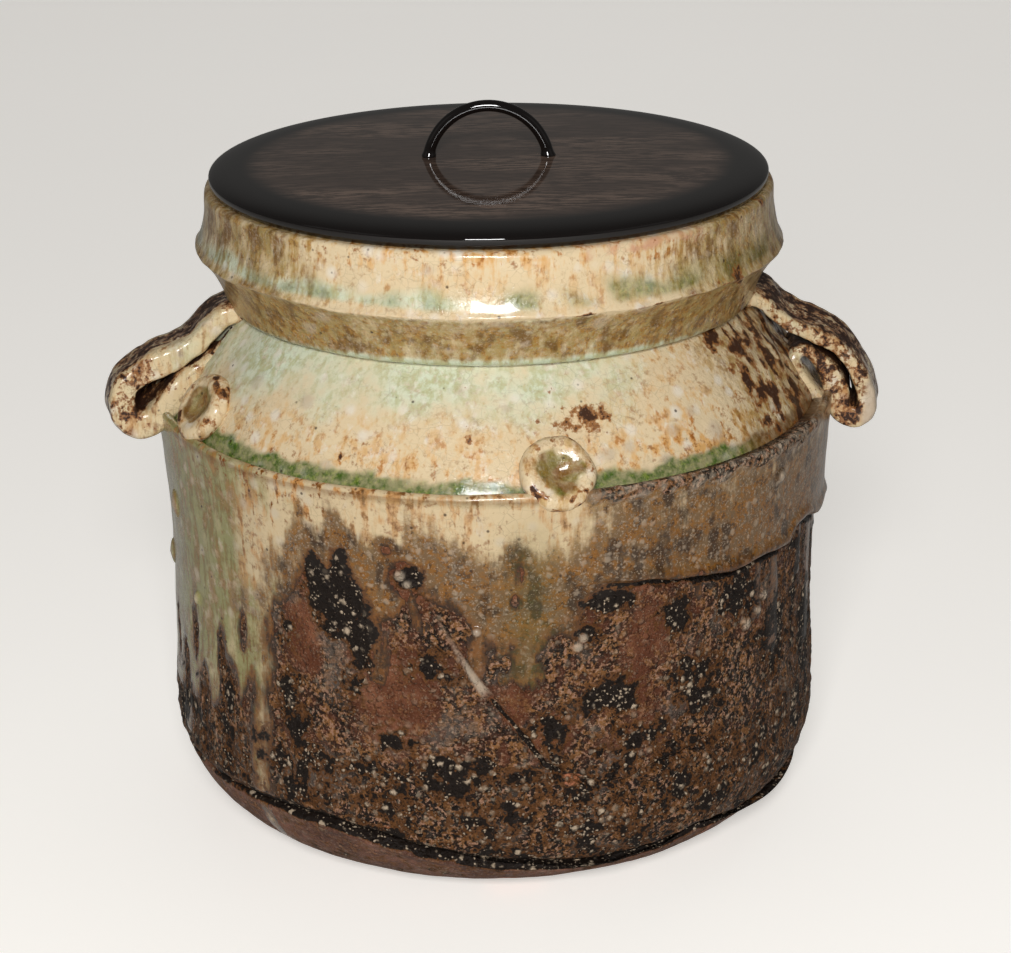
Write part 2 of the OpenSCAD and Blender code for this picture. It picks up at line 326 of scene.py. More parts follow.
def turned(outline: Outline, closed: bool, steps: int = SPIN_STEPS) -> bmesh.types.BMesh:
    """Spin an outline of radius and height round the jar's axis.

    Args:
        outline: Points in millimetres; an open outline starts and ends on the axis.
        closed: Whether the last point joins the first.
        steps: Number of steps round.

    Returns:
        Closed shell with its faces outward.
    """
    mesh = bmesh.new()
    points = [mesh.verts.new((0.0, -radius, height)) for radius, height in outline]
    pairs = list(zip(points, points[1:])) + ([(points[-1], points[0])] if closed else [])
    edges = [mesh.edges.new(pair) for pair in pairs]
    bmesh.ops.spin(mesh, geom=points + edges, axis=(0, 0, 1), angle=math.tau, steps=steps,
                   use_merge=True)
    bmesh.ops.remove_doubles(mesh, verts=mesh.verts, dist=1e-4)
    bmesh.ops.recalc_face_normals(mesh, faces=mesh.faces)
    return mesh


def parts_of(drawn: Sequence[object]) -> tuple[list[bmesh.types.BMVert], list[bmesh.types.BMEdge]]:
    """Points and edges among what an extrusion gave."""
    verts = [part for part in drawn if isinstance(part, bmesh.types.BMVert)]
    return verts, [part for part in drawn if isinstance(part, bmesh.types.BMEdge)]


def painted(mesh: bmesh.types.BMesh, paint: Callable[[bmesh.types.BMVert], Paint]) -> None:
    """Give every point of a clay mesh its marks.

    Args:
        mesh: Mesh in millimetres.
        paint: Marks of one point; a mark that it leaves out is 0.
    """
    layers = {mark: mesh.verts.layers.float.new(mark.value) for mark in Mark}
    for vert in mesh.verts:
        for mark, amount in paint(vert).items():
            vert[layers[mark]] = amount


def finished(mesh: bmesh.types.BMesh, node: str, body: Body,
             material: bpy.types.Material) -> None:
    """Bring a mesh to metres and let it stand for its node of the frame.

    Args:
        mesh: Mesh in millimetres, which is freed.
        node: Node that the piece replaces.
        body: Body that it rides on.
        material: Its finish.
    """
    bmesh.ops.scale(mesh, vec=(MM, MM, MM), verts=mesh.verts)
    for face in mesh.faces:
        face.smooth = True
    data = bpy.data.meshes.new(node + "_skin")
    mesh.to_mesh(data)
    mesh.free()
    data.materials.append(material)
    piece = bpy.data.objects.new(node + "_skin", data)
    bpy.context.collection.objects.link(piece)
    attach(piece, body.value)
    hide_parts(node)
    LOG.info("%s: %d faces, rides on %s", piece.name, len(data.polygons), body.value)


class Sheet:
    """Node tree under construction, with short calls for the steps that finishes repeat."""

    def __init__(self, tree: bpy.types.NodeTree) -> None:
        """Work on a tree that already exists."""
        self.tree = tree

    def feed(self, node: bpy.types.Node, inputs: dict[str | int, object]) -> None:
        """Fill a node's inputs.

        Args:
            node: The node.
            inputs: Sockets to link from, or values to set, by input name or number.
        """
        for key, value in inputs.items():
            if isinstance(value, Socket):
                self.tree.links.new(value, node.inputs[key])
            else:
                node.inputs[key].default_value = value

    def put(self, kind: str, inputs: dict[str | int, object] | None = None,
            **settings: object) -> bpy.types.Node:
        """Add a node.

        Args:
            kind: Type of the node.
            inputs: Sockets to link from, or values to set, by input name or number.
            settings: Properties of the node.

        Returns:
            The node.
        """
        node = self.tree.nodes.new(kind)
        for name, value in settings.items():
            setattr(node, name, value)
        self.feed(node, inputs or {})
        return node

    def calc(self, operation: str, first: object, second: object, clamp: bool = False) -> Socket:
        """Work out a value from two sockets or numbers."""
        inputs = {0: first, 1: second}
        return self.put("ShaderNodeMath", inputs, operation=operation, use_clamp=clamp).outputs[0]

    def times(self, first: object, second: object, clamp: bool = False) -> Socket:
        """Product of two values."""
        return self.calc("MULTIPLY", first, second, clamp)

    def mixed(self, *parts: tuple[Socket, float]) -> Socket:
        """Add up several values, each times its weight.

        Args:
            parts: Sockets with their weights.

        Returns:
            Socket with the sum.
        """
        total = self.times(*parts[0])
        for socket, weight in parts[1:]:
            inputs = {0: socket, 1: weight, 2: total}
            total = self.put("ShaderNodeMath", inputs, operation="MULTIPLY_ADD").outputs[0]
        return total

    def ease(self, value: object, low: float, high: float, to_low: float = 0.0,
             to_high: float = 1.0) -> Socket:
        """Rise smoothly between two values.

        Args:
            value: Socket to read.
            low: Value that gives to_low.
            high: Value that gives to_high.
            to_low: Result at low.
            to_high: Result at high.

        Returns:
            Socket with the result.
        """
        inputs = {
            "Value": value, "From Min": low, "From Max": high, "To Min": to_low, "To Max": to_high,
        }
        node = self.put("ShaderNodeMapRange", inputs, interpolation_type="SMOOTHSTEP")
        return node.outputs["Result"]

    def patches(self, parts: Sequence[tuple[Socket, float]], low: float, high: float,
                most: float = 1.0) -> Socket:
        """Share that rises to the most where a weighted sum of patterns passes from low to high."""
        return self.ease(self.mixed(*parts), low, high, 0.0, most)

    def blend(self, share: object, below: object, above: object) -> Socket:
        """Lay a share of one colour over another."""
        node = self.put("ShaderNodeMix", {0: share, 6: below, 7: above}, data_type="RGBA")
        return node.outputs[2]

    def layered(self, ground: object, *layers: tuple[Socket, object]) -> Socket:
        """Lay colours over a ground, one after the other.

        Args:
            ground: Lowest colour.
            layers: How much of each next colour shows, and the colour.

        Returns:
            Socket with the colour.
        """
        colour = ground
        for share, above in layers:
            colour = self.blend(share, colour, above)
        return colour

    def cloud(self, vector: Socket, size: float, detail: float = 3.0,
              roughness: float = 0.55) -> Socket:
        """Cloudy pattern from 0 to 1 with a size in millimetres."""
        inputs = {"Vector": vector, "Scale": 1.0 / size, "Detail": detail, "Roughness": roughness}
        return self.put("ShaderNodeTexNoise", inputs).outputs["Fac"]

    def cells(self, vector: Socket, size: float) -> tuple[Socket, bpy.types.NodeOutputs]:
        """Random cells of a size in millimetres.

        Args:
            vector: Coordinates in millimetres.
            size: Size of the cells.

        Returns:
            Distance from the middle of a cell, and three values that differ from cell to cell.
        """
        cells = self.put("ShaderNodeTexVoronoi", {"Vector": vector, "Scale": 1.0 / size}).outputs
        kind = self.put("ShaderNodeSeparateColor", {"Color": cells["Color"]}).outputs
        return cells["Distance"], kind

    def swayed(self, vector: Socket, scale: float) -> Socket:
        """Coordinates pushed about, so that cells lose their straight sides.

        Args:
            vector: Coordinates in millimetres.
            scale: Turns of the sway in a millimetre.

        Returns:
            Socket with the new coordinates.
        """
        inputs = {"Vector": vector, "Scale": scale, "Detail": 1.0}
        sway = self.put("ShaderNodeTexNoise", inputs).outputs["Color"]
        return self.put("ShaderNodeVectorMath", {0: sway, 1: vector}, operation="ADD").outputs[0]

    def bumped(self, height: Socket, strength: float) -> Socket:
        """Normals of a surface that is raised by a height in millimetres."""
        inputs = {"Height": height, "Distance": MM, "Strength": strength}
        return self.put("ShaderNodeBump", inputs).outputs["Normal"]

    def stretched(self, vector: Socket, scale: tuple[float, float, float]) -> Socket:
        """Coordinates scaled differently along the three axes."""
        return self.put("ShaderNodeMapping", {"Vector": vector, "Scale": scale}).outputs["Vector"]

    def mark(self, mark: Mark) -> Socket:
        """Amount of a mark that the clay's points carry."""
        return self.put("ShaderNodeAttribute", attribute_name=mark.value).outputs["Fac"]

    def millimetres(self) -> Socket:
        """Object coordinates in millimetres."""
        inputs = {0: self.put("ShaderNodeTexCoord").outputs["Object"], "Scale": 1.0 / MM}
        return self.put("ShaderNodeVectorMath", inputs, operation="SCALE").outputs[0]


def new_material(name: str) -> tuple[bpy.types.Material, Sheet, bpy.types.Node]:
    """Start a material.

    Args:
        name: Its name.

    Returns:
        The material, the sheet that its nodes go on, and its shader.
    """
    material = bpy.data.materials.new(name)
    material.use_nodes = True
    tree = material.node_tree
    return material, Sheet(tree), tree.nodes["Principled BSDF"]


class Effect(Enum):
    """Surface effects that several finishes share, each a node group of its own."""

    CRACKLE = "glaze_crackle"
    FRECKLES = "iron_freckles"
    STREAKS = "running_streaks"
    GRAINS = "melted_grains"

    def tree(self) -> bpy.types.NodeTree:
        """Find the effect's node group, or build it the first time.

        Returns:
            The node group.
        """
        found = bpy.data.node_groups.get(self.value)
        if found:
            return found
        maker, outputs = {
            Effect.CRACKLE: (_crackle, ("Mask",)),
            Effect.FRECKLES: (_freckles, ("Mask", "Pin", "Milk")),
            Effect.STREAKS: (_streaks, ("Wide", "Fine")),
            Effect.GRAINS: (_grains, ("White", "Height", "Spark")),
        }[self]
        tree = bpy.data.node_groups.new(self.value, "ShaderNodeTree")
        tree.interface.new_socket("Vector", in_out="INPUT", socket_type="NodeSocketVector")
        for name in outputs:
            tree.interface.new_socket(name, in_out="OUTPUT", socket_type="NodeSocketFloat")
        sheet = Sheet(tree)
        vector = sheet.put("NodeGroupInput").outputs["Vector"]
        sheet.put("NodeGroupOutput", dict(zip(outputs, maker(sheet, vector))))
        return tree

    def on(self, sheet: Sheet, vector: Socket) -> bpy.types.NodeOutputs:
        """Place the effect in a material, on coordinates in millimetres, and give its outputs."""
        return sheet.put("ShaderNodeGroup", {"Vector": vector}, node_tree=self.tree()).outputs


def _crackle(sheet: Sheet, vector: Socket) -> list[Socket]:
    """Fine network of cracks in the glaze.

    Args:
        sheet: Group under construction.
        vector: Coordinates in millimetres.

    Returns:
        Mask of the lines.
    """
    inputs = {"Vector": sheet.swayed(vector, 0.35), "Scale": 0.38}
    cells = sheet.put("ShaderNodeTexVoronoi", inputs, feature="DISTANCE_TO_EDGE")
    lines = sheet.ease(cells.outputs["Distance"], 0.045, 0.005)
    return [sheet.times(lines, sheet.ease(sheet.cloud(vector, 9.0, 1.0), 0.35, 0.65))]


def _freckles(sheet: Sheet, vector: Socket) -> list[Socket]:
    """Iron freckles in crowds, pinholes, and soft milky spots.

    Args:
        sheet: Group under construction.
        vector: Coordinates in millimetres.

    Returns:
        Masks of the freckles, the pinholes and the milky spots.
    """
    fine = sheet.ease(sheet.cloud(vector, 1.5, 3.0, 0.65), 0.5, 0.66)
    crowd = sheet.ease(sheet.cloud(vector, 8.0, 4.0, 0.65), 0.44, 0.64)
    large = sheet.ease(sheet.cloud(vector, 5.0, 4.0, 0.7), 0.6, 0.7)
    off, kind = sheet.cells(vector, 5.0)
    pin = sheet.times(sheet.ease(off, 0.12, 0.05), sheet.ease(kind["Red"], 0.4, 0.45))
    milk = sheet.times(sheet.ease(off, 0.5, 0.15), sheet.ease(kind["Green"], 0.72, 0.78))
    return [sheet.calc("ADD", sheet.times(fine, crowd), large, clamp=True), pin, milk]


def _streaks(sheet: Sheet, vector: Socket) -> list[Socket]:
    """Streaks of glaze that ran down.

    Args:
        sheet: Group under construction.
        vector: Coordinates in millimetres.

    Returns:
        Pattern of wide streaks and pattern of fine ones.
    """
    wide = sheet.cloud(sheet.stretched(vector, (1.0, 1.0, 0.25)), 6.0, 3.0, 0.6)
    fine = sheet.cloud(sheet.stretched(vector, (1.0, 1.0, 0.2)), 2.2, 3.0, 0.6)
    return [wide, fine]


def _grains(sheet: Sheet, vector: Socket) -> list[Socket]:
    """Half-melted grains of ash and feldspar stuck on the clay.

    Args:
        sheet: Group under construction.
        vector: Coordinates in millimetres.

    Returns:
        Mask of the white grains, the height of all grains, and a mask of tiny sparks.
    """
    moved = sheet.swayed(vector, 0.9)
    crowd = sheet.cloud(vector, 6.0, 3.0, 0.6)
    masks = []
    domes = []
    for size in (2.3, 0.9):
        off, kind = sheet.cells(moved, size)
        spread = sheet.calc("DIVIDE", off, sheet.ease(kind["Blue"], 0.0, 1.0, 0.15, 0.65))
        dome = sheet.ease(spread, 1.0, 0.4)
        chosen = sheet.patches(((kind["Red"], 0.8), (crowd, 1.6)), 1.26, 1.42)
        masks.append(sheet.times(dome, chosen))
        domes.append(sheet.times(dome, size * 0.4))
    white = sheet.calc("MAXIMUM", *masks)
    uneven = sheet.cloud(vector, 1.4, 3.0, 0.65)
    height = sheet.calc("ADD", sheet.calc("MAXIMUM", *domes), uneven)
    return [white, height, sheet.ease(sheet.cloud(vector, 0.55, 1.0), 0.6, 0.72)]


@dataclass(frozen=True)
class ClayPatterns:
    """Patterns that the steps of a clay finish share."""

    clouds: dict[int, Socket]
    grains: bpy.types.NodeOutputs
    runs: bpy.types.NodeOutputs
    spots: bpy.types.NodeOutputs
    crackle: Socket

    @classmethod
    def on(cls, sheet: Sheet) -> "ClayPatterns":
        """Place the patterns in a material.

        Args:
            sheet: Material under construction.

        Returns:
            The patterns, with the clouds by their rounded size in millimetres.
        """
        vector = sheet.millimetres()
        clouds = {
            16: sheet.cloud(vector, 16.0, 3.0), 7: sheet.cloud(vector, 7.0, 4.0, 0.62),
            3: sheet.cloud(vector, 2.8, 3.0, 0.65), 1: sheet.cloud(vector, 1.1, 2.0),
        }
        grains, runs, spots, cracks = (
            effect.on(sheet, vector)
            for effect in (Effect.GRAINS, Effect.STREAKS, Effect.FRECKLES, Effect.CRACKLE)
        )
        return cls(clouds, grains, runs, spots, cracks["Mask"])


@dataclass(frozen=True)
class ClayFinish:
    """Wood-fired clay with runny ash glaze, read from the marks of its points, with painted shade
    and sheen among them.
    """

    name: str
    cream: Colour = tone(224, 202, 164)
    mint: Colour = tone(204, 211, 182)
    milk: Colour = tone(228, 218, 200)
    peach: Colour = tone(198, 142, 80)
    amber: Colour = tone(116, 70, 22)
    freckle: Colour = tone(124, 68, 26)
    iron: Colour = tone(46, 26, 13)
    moss: Colour = tone(64, 92, 22)
    moss_pale: Colour = tone(124, 140, 54)
    resin: Colour = tone(108, 68, 18)
    thin_grey: Colour = tone(110, 84, 54)
    thin_gold: Colour = tone(130, 84, 26)
    thin_dark: Colour = tone(44, 26, 9)
    mauve: Colour = tone(88, 48, 28)
    mauve_pale: Colour = tone(122, 76, 52)
    ochre: Colour = tone(126, 86, 50)
    ash: Colour = tone(104, 90, 80)
    # Sooty black of the crust and of scorching, also the colour of painted shade.
    soot_and_shade: Colour = tone(24, 15, 9)
    grain: Colour = tone(184, 164, 140)
    stone: Colour = tone(192, 174, 152)
    salmon: Colour = tone(182, 116, 84)
    crumb: Colour = tone(158, 120, 98)
    thin_pale: Colour = tone(162, 134, 90)
    thin_blue: Colour = tone(132, 114, 94)
    olive: Colour = tone(184, 190, 148)
    # Singed halo round scorching, also round painted shade.
    singe_and_shade: Colour = tone(92, 56, 24)
    mottle: tuple[float, float, float] = (2.4, 1.2, 0.4)
    crazed: float = 0.25
    gloss: float = 0.2
    freckled: float = 0.8

    def _veil(self, sheet: Sheet, seen: ClayPatterns, depth: Socket) -> Socket:
        """Colour of the glaze where it lies thin over the dark clay.

        Args:
            sheet: Material under construction.
            seen: Patterns of the finish.
            depth: Distance inside the glaze's edge.

        Returns:
            Socket with the colour.
        """
        clouds, grains, runs = seen.clouds, seen.grains, seen.runs
        blue = sheet.patches(((clouds[7], 0.5), (clouds[1], 0.5)), 0.52, 0.6, 0.8)
        deep = sheet.patches(((depth, 1.0), (runs["Fine"], 20.0)), 22.0, 42.0, 0.8)
        clear = sheet.ease(sheet.mark(Mark.HAZE), 0.4, 0.75, 1.0, 0.15)
        dark = sheet.patches(((clouds[7], 0.5), (runs["Wide"], 0.5)), 0.49, 0.6, 0.85)
        burrs = sheet.patches(((clouds[3], 0.6), (clouds[1], 0.4)), 0.53, 0.61, 0.7)
        sown = sheet.times(sheet.calc("MAXIMUM", grains["White"], grains["Spark"]), 0.45)
        return sheet.layered(
            self.thin_grey,
            (sheet.ease(clouds[3], 0.42, 0.58), self.thin_gold),
            (blue, self.thin_blue),
            (sheet.times(deep, clear), self.thin_pale),
            (dark, self.thin_dark),
            (burrs, self.thin_dark),
            (sown, self.grain),
        )

    def _glazed(self, sheet: Sheet, seen: ClayPatterns, depth: Socket) -> Socket:
        """Colour of the clay under glaze.

        Args:
            sheet: Material under construction.
            seen: Patterns of the finish.
            depth: Distance inside the glaze's edge.

        Returns:
            Socket with the colour.
        """
        clouds, runs, spots = seen.clouds, seen.runs, seen.spots
        rust, mint, haze, moss = (
            sheet.mark(mark) for mark in (Mark.RUST, Mark.MINT, Mark.HAZE, Mark.MOSS)
        )
        minty = sheet.patches(((mint, 1.0), (clouds[16], 1.2), (clouds[7], 1.0)), 1.2, 2.0)
        drawn = sheet.patches(((runs["Fine"], 0.6), (clouds[7], 0.4)), 0.45, 0.57, 0.85)
        milky = sheet.patches(((clouds[7], 0.6), (clouds[3], 0.4)), 0.52, 0.66, 0.7)
        warm = sheet.patches(((runs["Fine"], 0.5), (clouds[7], 0.5)), 0.47, 0.6)
        stain = sheet.patches(((runs["Fine"], 0.5), (clouds[3], 0.5)), 0.54, 0.64)
        warmth = sheet.times(rust, sheet.ease(minty, 0.0, 1.0, 1.1, 0.45))
        speckled = sheet.times(sheet.calc("ADD", rust, 0.05), self.freckled)
        edge = sheet.patches(((depth, 1.0), (runs["Wide"], 36.0)), 46.0, 27.0)
        edge = sheet.times(edge, sheet.ease(mint, 0.0, 0.8, 0.8, 0.2))
        thin = ((haze, 1.0), (edge, 1.0), (clouds[7], 1.2), (runs["Fine"], 1.2))
        brink = sheet.blend(sheet.ease(clouds[3], 0.42, 0.6), self.amber, self.thin_dark)
        pool = sheet.layered(
            self.moss,
            (sheet.ease(clouds[1], 0.5, 0.66, 0.0, 0.7), self.moss_pale),
            (sheet.ease(rust, 0.45, 0.9), self.resin),
        )
        return sheet.layered(
            self.cream,
            (minty, self.mint),
            (sheet.times(minty, drawn), self.olive),
            (milky, self.milk),
            (sheet.times(warm, warmth, clamp=True), self.peach),
            (sheet.times(stain, warmth, clamp=True), self.amber),
            (sheet.times(spots["Mask"], speckled, clamp=True), self.freckle),
            (sheet.times(spots["Milk"], 0.6), self.milk),
            (sheet.patches(thin, 1.3, 2.1), self._veil(sheet, seen, depth)),
            (sheet.ease(depth, 5.5, 1.0, 0.0, 0.95), brink),
            (sheet.times(moss, sheet.ease(clouds[3], 0.3, 0.7, 0.6, 1.0)), pool),
            (sheet.times(spots["Pin"], 0.8), self.iron),
            (sheet.ease(depth, 1.8, 0.3, 0.0, 0.8), self.iron),
        )

    def _bare(self, sheet: Sheet, seen: ClayPatterns) -> Socket:
        """Colour of the clay where no glaze lies.

        Args:
            sheet: Material under construction.
            seen: Patterns of the finish.

        Returns:
            Socket with the colour.
        """
        clouds = seen.clouds
        crust = ((sheet.mark(Mark.CRUST), 1.0), (clouds[7], 1.0), (clouds[3], 0.6))
        crumbs = sheet.layered(
            self.soot_and_shade,
            (sheet.patches(((clouds[3], 0.6), (clouds[1], 0.4)), 0.47, 0.56), self.ochre),
            (sheet.ease(clouds[1], 0.55, 0.62, 0.0, 0.8), self.crumb),
            (sheet.patches(((clouds[16], 0.6), (clouds[7], 0.4)), 0.5, 0.6, 0.6), self.ash),
        )
        return sheet.layered(
            self.mauve,
            (sheet.patches(((clouds[7], 0.5), (clouds[16], 0.5)), 0.42, 0.58), self.mauve_pale),
            (sheet.patches(((clouds[3], 0.5), (clouds[1], 0.5)), 0.5, 0.64, 0.5), self.ochre),
            (sheet.patches(crust, 1.1, 1.45), crumbs),
            (sheet.times(seen.grains["Spark"], 0.2), self.grain),
        )

    def build(self) -> bpy.types.Material:
        """Build the material.

        Returns:
            The material.
        """
        material, sheet, shader = new_material(self.name)
        seen = ClayPatterns.on(sheet)
        clouds, grains, runs = seen.clouds, seen.grains, seen.runs
        depth = sheet.mixed(
            (sheet.mark(Mark.GLAZE), 1.0), (runs["Wide"], 10.0), (runs["Fine"], 6.0),
            (clouds[3], 6.0)
        )
        depth = sheet.calc("SUBTRACT", depth, 11.0)
        cover = sheet.ease(depth, -0.3, 0.5)
        torn = sheet.patches(((sheet.mark(Mark.BLUSH), 1.0), (clouds[7], 1.0)), 0.9, 1.15)
        # The mark of scorching carries painted shade as well; both turn the colour to a singed halo
        # and a sooty black.
        wide, small, fine = self.mottle
        burn_and_shade = sheet.mixed(
            (sheet.mark(Mark.SCORCH), 1.7), (clouds[7], wide), (clouds[3], small), (clouds[1], fine)
        )
        darkened = sheet.ease(burn_and_shade, 2.8, 2.98)
        stuck = sheet.mixed(
            (darkened, 0.7), (sheet.mark(Mark.CRUST), 0.32), (sheet.ease(cover, 1.0, 0.0), 0.08)
        )
        loose = sheet.times(
            sheet.calc("MINIMUM", stuck, 0.95), sheet.ease(cover, 1.0, 0.3, 0.15, 1.0)
        )
        colour = sheet.layered(
            self._bare(sheet, seen),
            (cover, self._glazed(sheet, seen, depth)),
            (torn, self.salmon),
            (sheet.ease(burn_and_shade, 2.6, 2.8, 0.0, 0.9), self.singe_and_shade),
            (darkened, self.soot_and_shade),
            (sheet.times(grains["White"], loose), self.grain),
            (sheet.mark(Mark.STONE), self.stone),
            (sheet.times(sheet.times(seen.crackle, cover), self.crazed), self.iron),
        )

        dull = sheet.times(sheet.mark(Mark.HAZE), 0.2)
        wet = sheet.ease(clouds[7], 0.3, 0.7, self.gloss - 0.06, self.gloss + 0.1)
        wet = sheet.calc("ADD", wet, dull)
        dry = sheet.ease(clouds[3], 0.3, 0.7, 0.5, 0.78)
        shiny = sheet.times(cover, sheet.ease(darkened, 0.0, 1.0, 1.0, 0.3))
        rough = sheet.put("ShaderNodeMix", {0: shiny, 2: dry, 3: wet}, data_type="FLOAT").outputs[0]
        gritty = sheet.calc("ADD", sheet.ease(cover, 1.0, 0.0, 0.02, 0.65), dull)
        height = sheet.mixed(
            (sheet.times(grains["Height"], gritty), 1.0), (clouds[3], 0.2), (clouds[1], 0.06),
            (seen.crackle, -0.03)
        )
        sheet.feed(shader, {
            "Base Color": colour, "Roughness": rough, "Normal": sheet.bumped(height, 0.9),
            "Coat Weight": sheet.times(shiny, 0.5), "Coat Roughness": 0.1,
            "Specular IOR Level": 0.2,
        })
        return material


@dataclass(frozen=True)
class LacquerFinish:
    """Black lacquer with a painted reflection: brownish streaks like mirrored surroundings in its
    colour, where the board's mark says so.
    """

    name: str
    black: Colour = tone(16, 12, 11)
    dark_reflection: Colour = tone(66, 53, 46)
    brown_reflection: Colour = tone(122, 101, 88)
    polish: float = 0.03

    def build(self) -> bpy.types.Material:
        """Build the material.

        Returns:
            The material.
        """
        material, sheet, shader = new_material(self.name)
        vector = sheet.millimetres()
        # Painted reflection: streaks laid into the colour on the board's top; the fine streaks also
        # roughen and bump the lacquer.
        pores_and_streaks = sheet.cloud(sheet.stretched(vector, (0.16, 1.0, 1.0)), 1.3, 4.0, 0.7)
        reflected_streaks = sheet.cloud(sheet.stretched(vector, (0.3, 1.0, 1.0)), 16.0, 3.0)
        shown = sheet.times(sheet.ease(reflected_streaks, 0.38, 0.64, 0.2, 1.0), sheet.ease(pores_and_streaks, 0.42, 0.58))
        painted_reflection = sheet.blend(shown, self.dark_reflection, self.brown_reflection)
        sheet.feed(shader, {
            "Base Color": sheet.blend(sheet.mark(Mark.RUST), self.black, painted_reflection),
            "Roughness": sheet.ease(pores_and_streaks, 0.35, 0.7, self.polish, self.polish + 0.03),
            "Normal": sheet.bumped(pores_and_streaks, 0.01),
        })
        return material


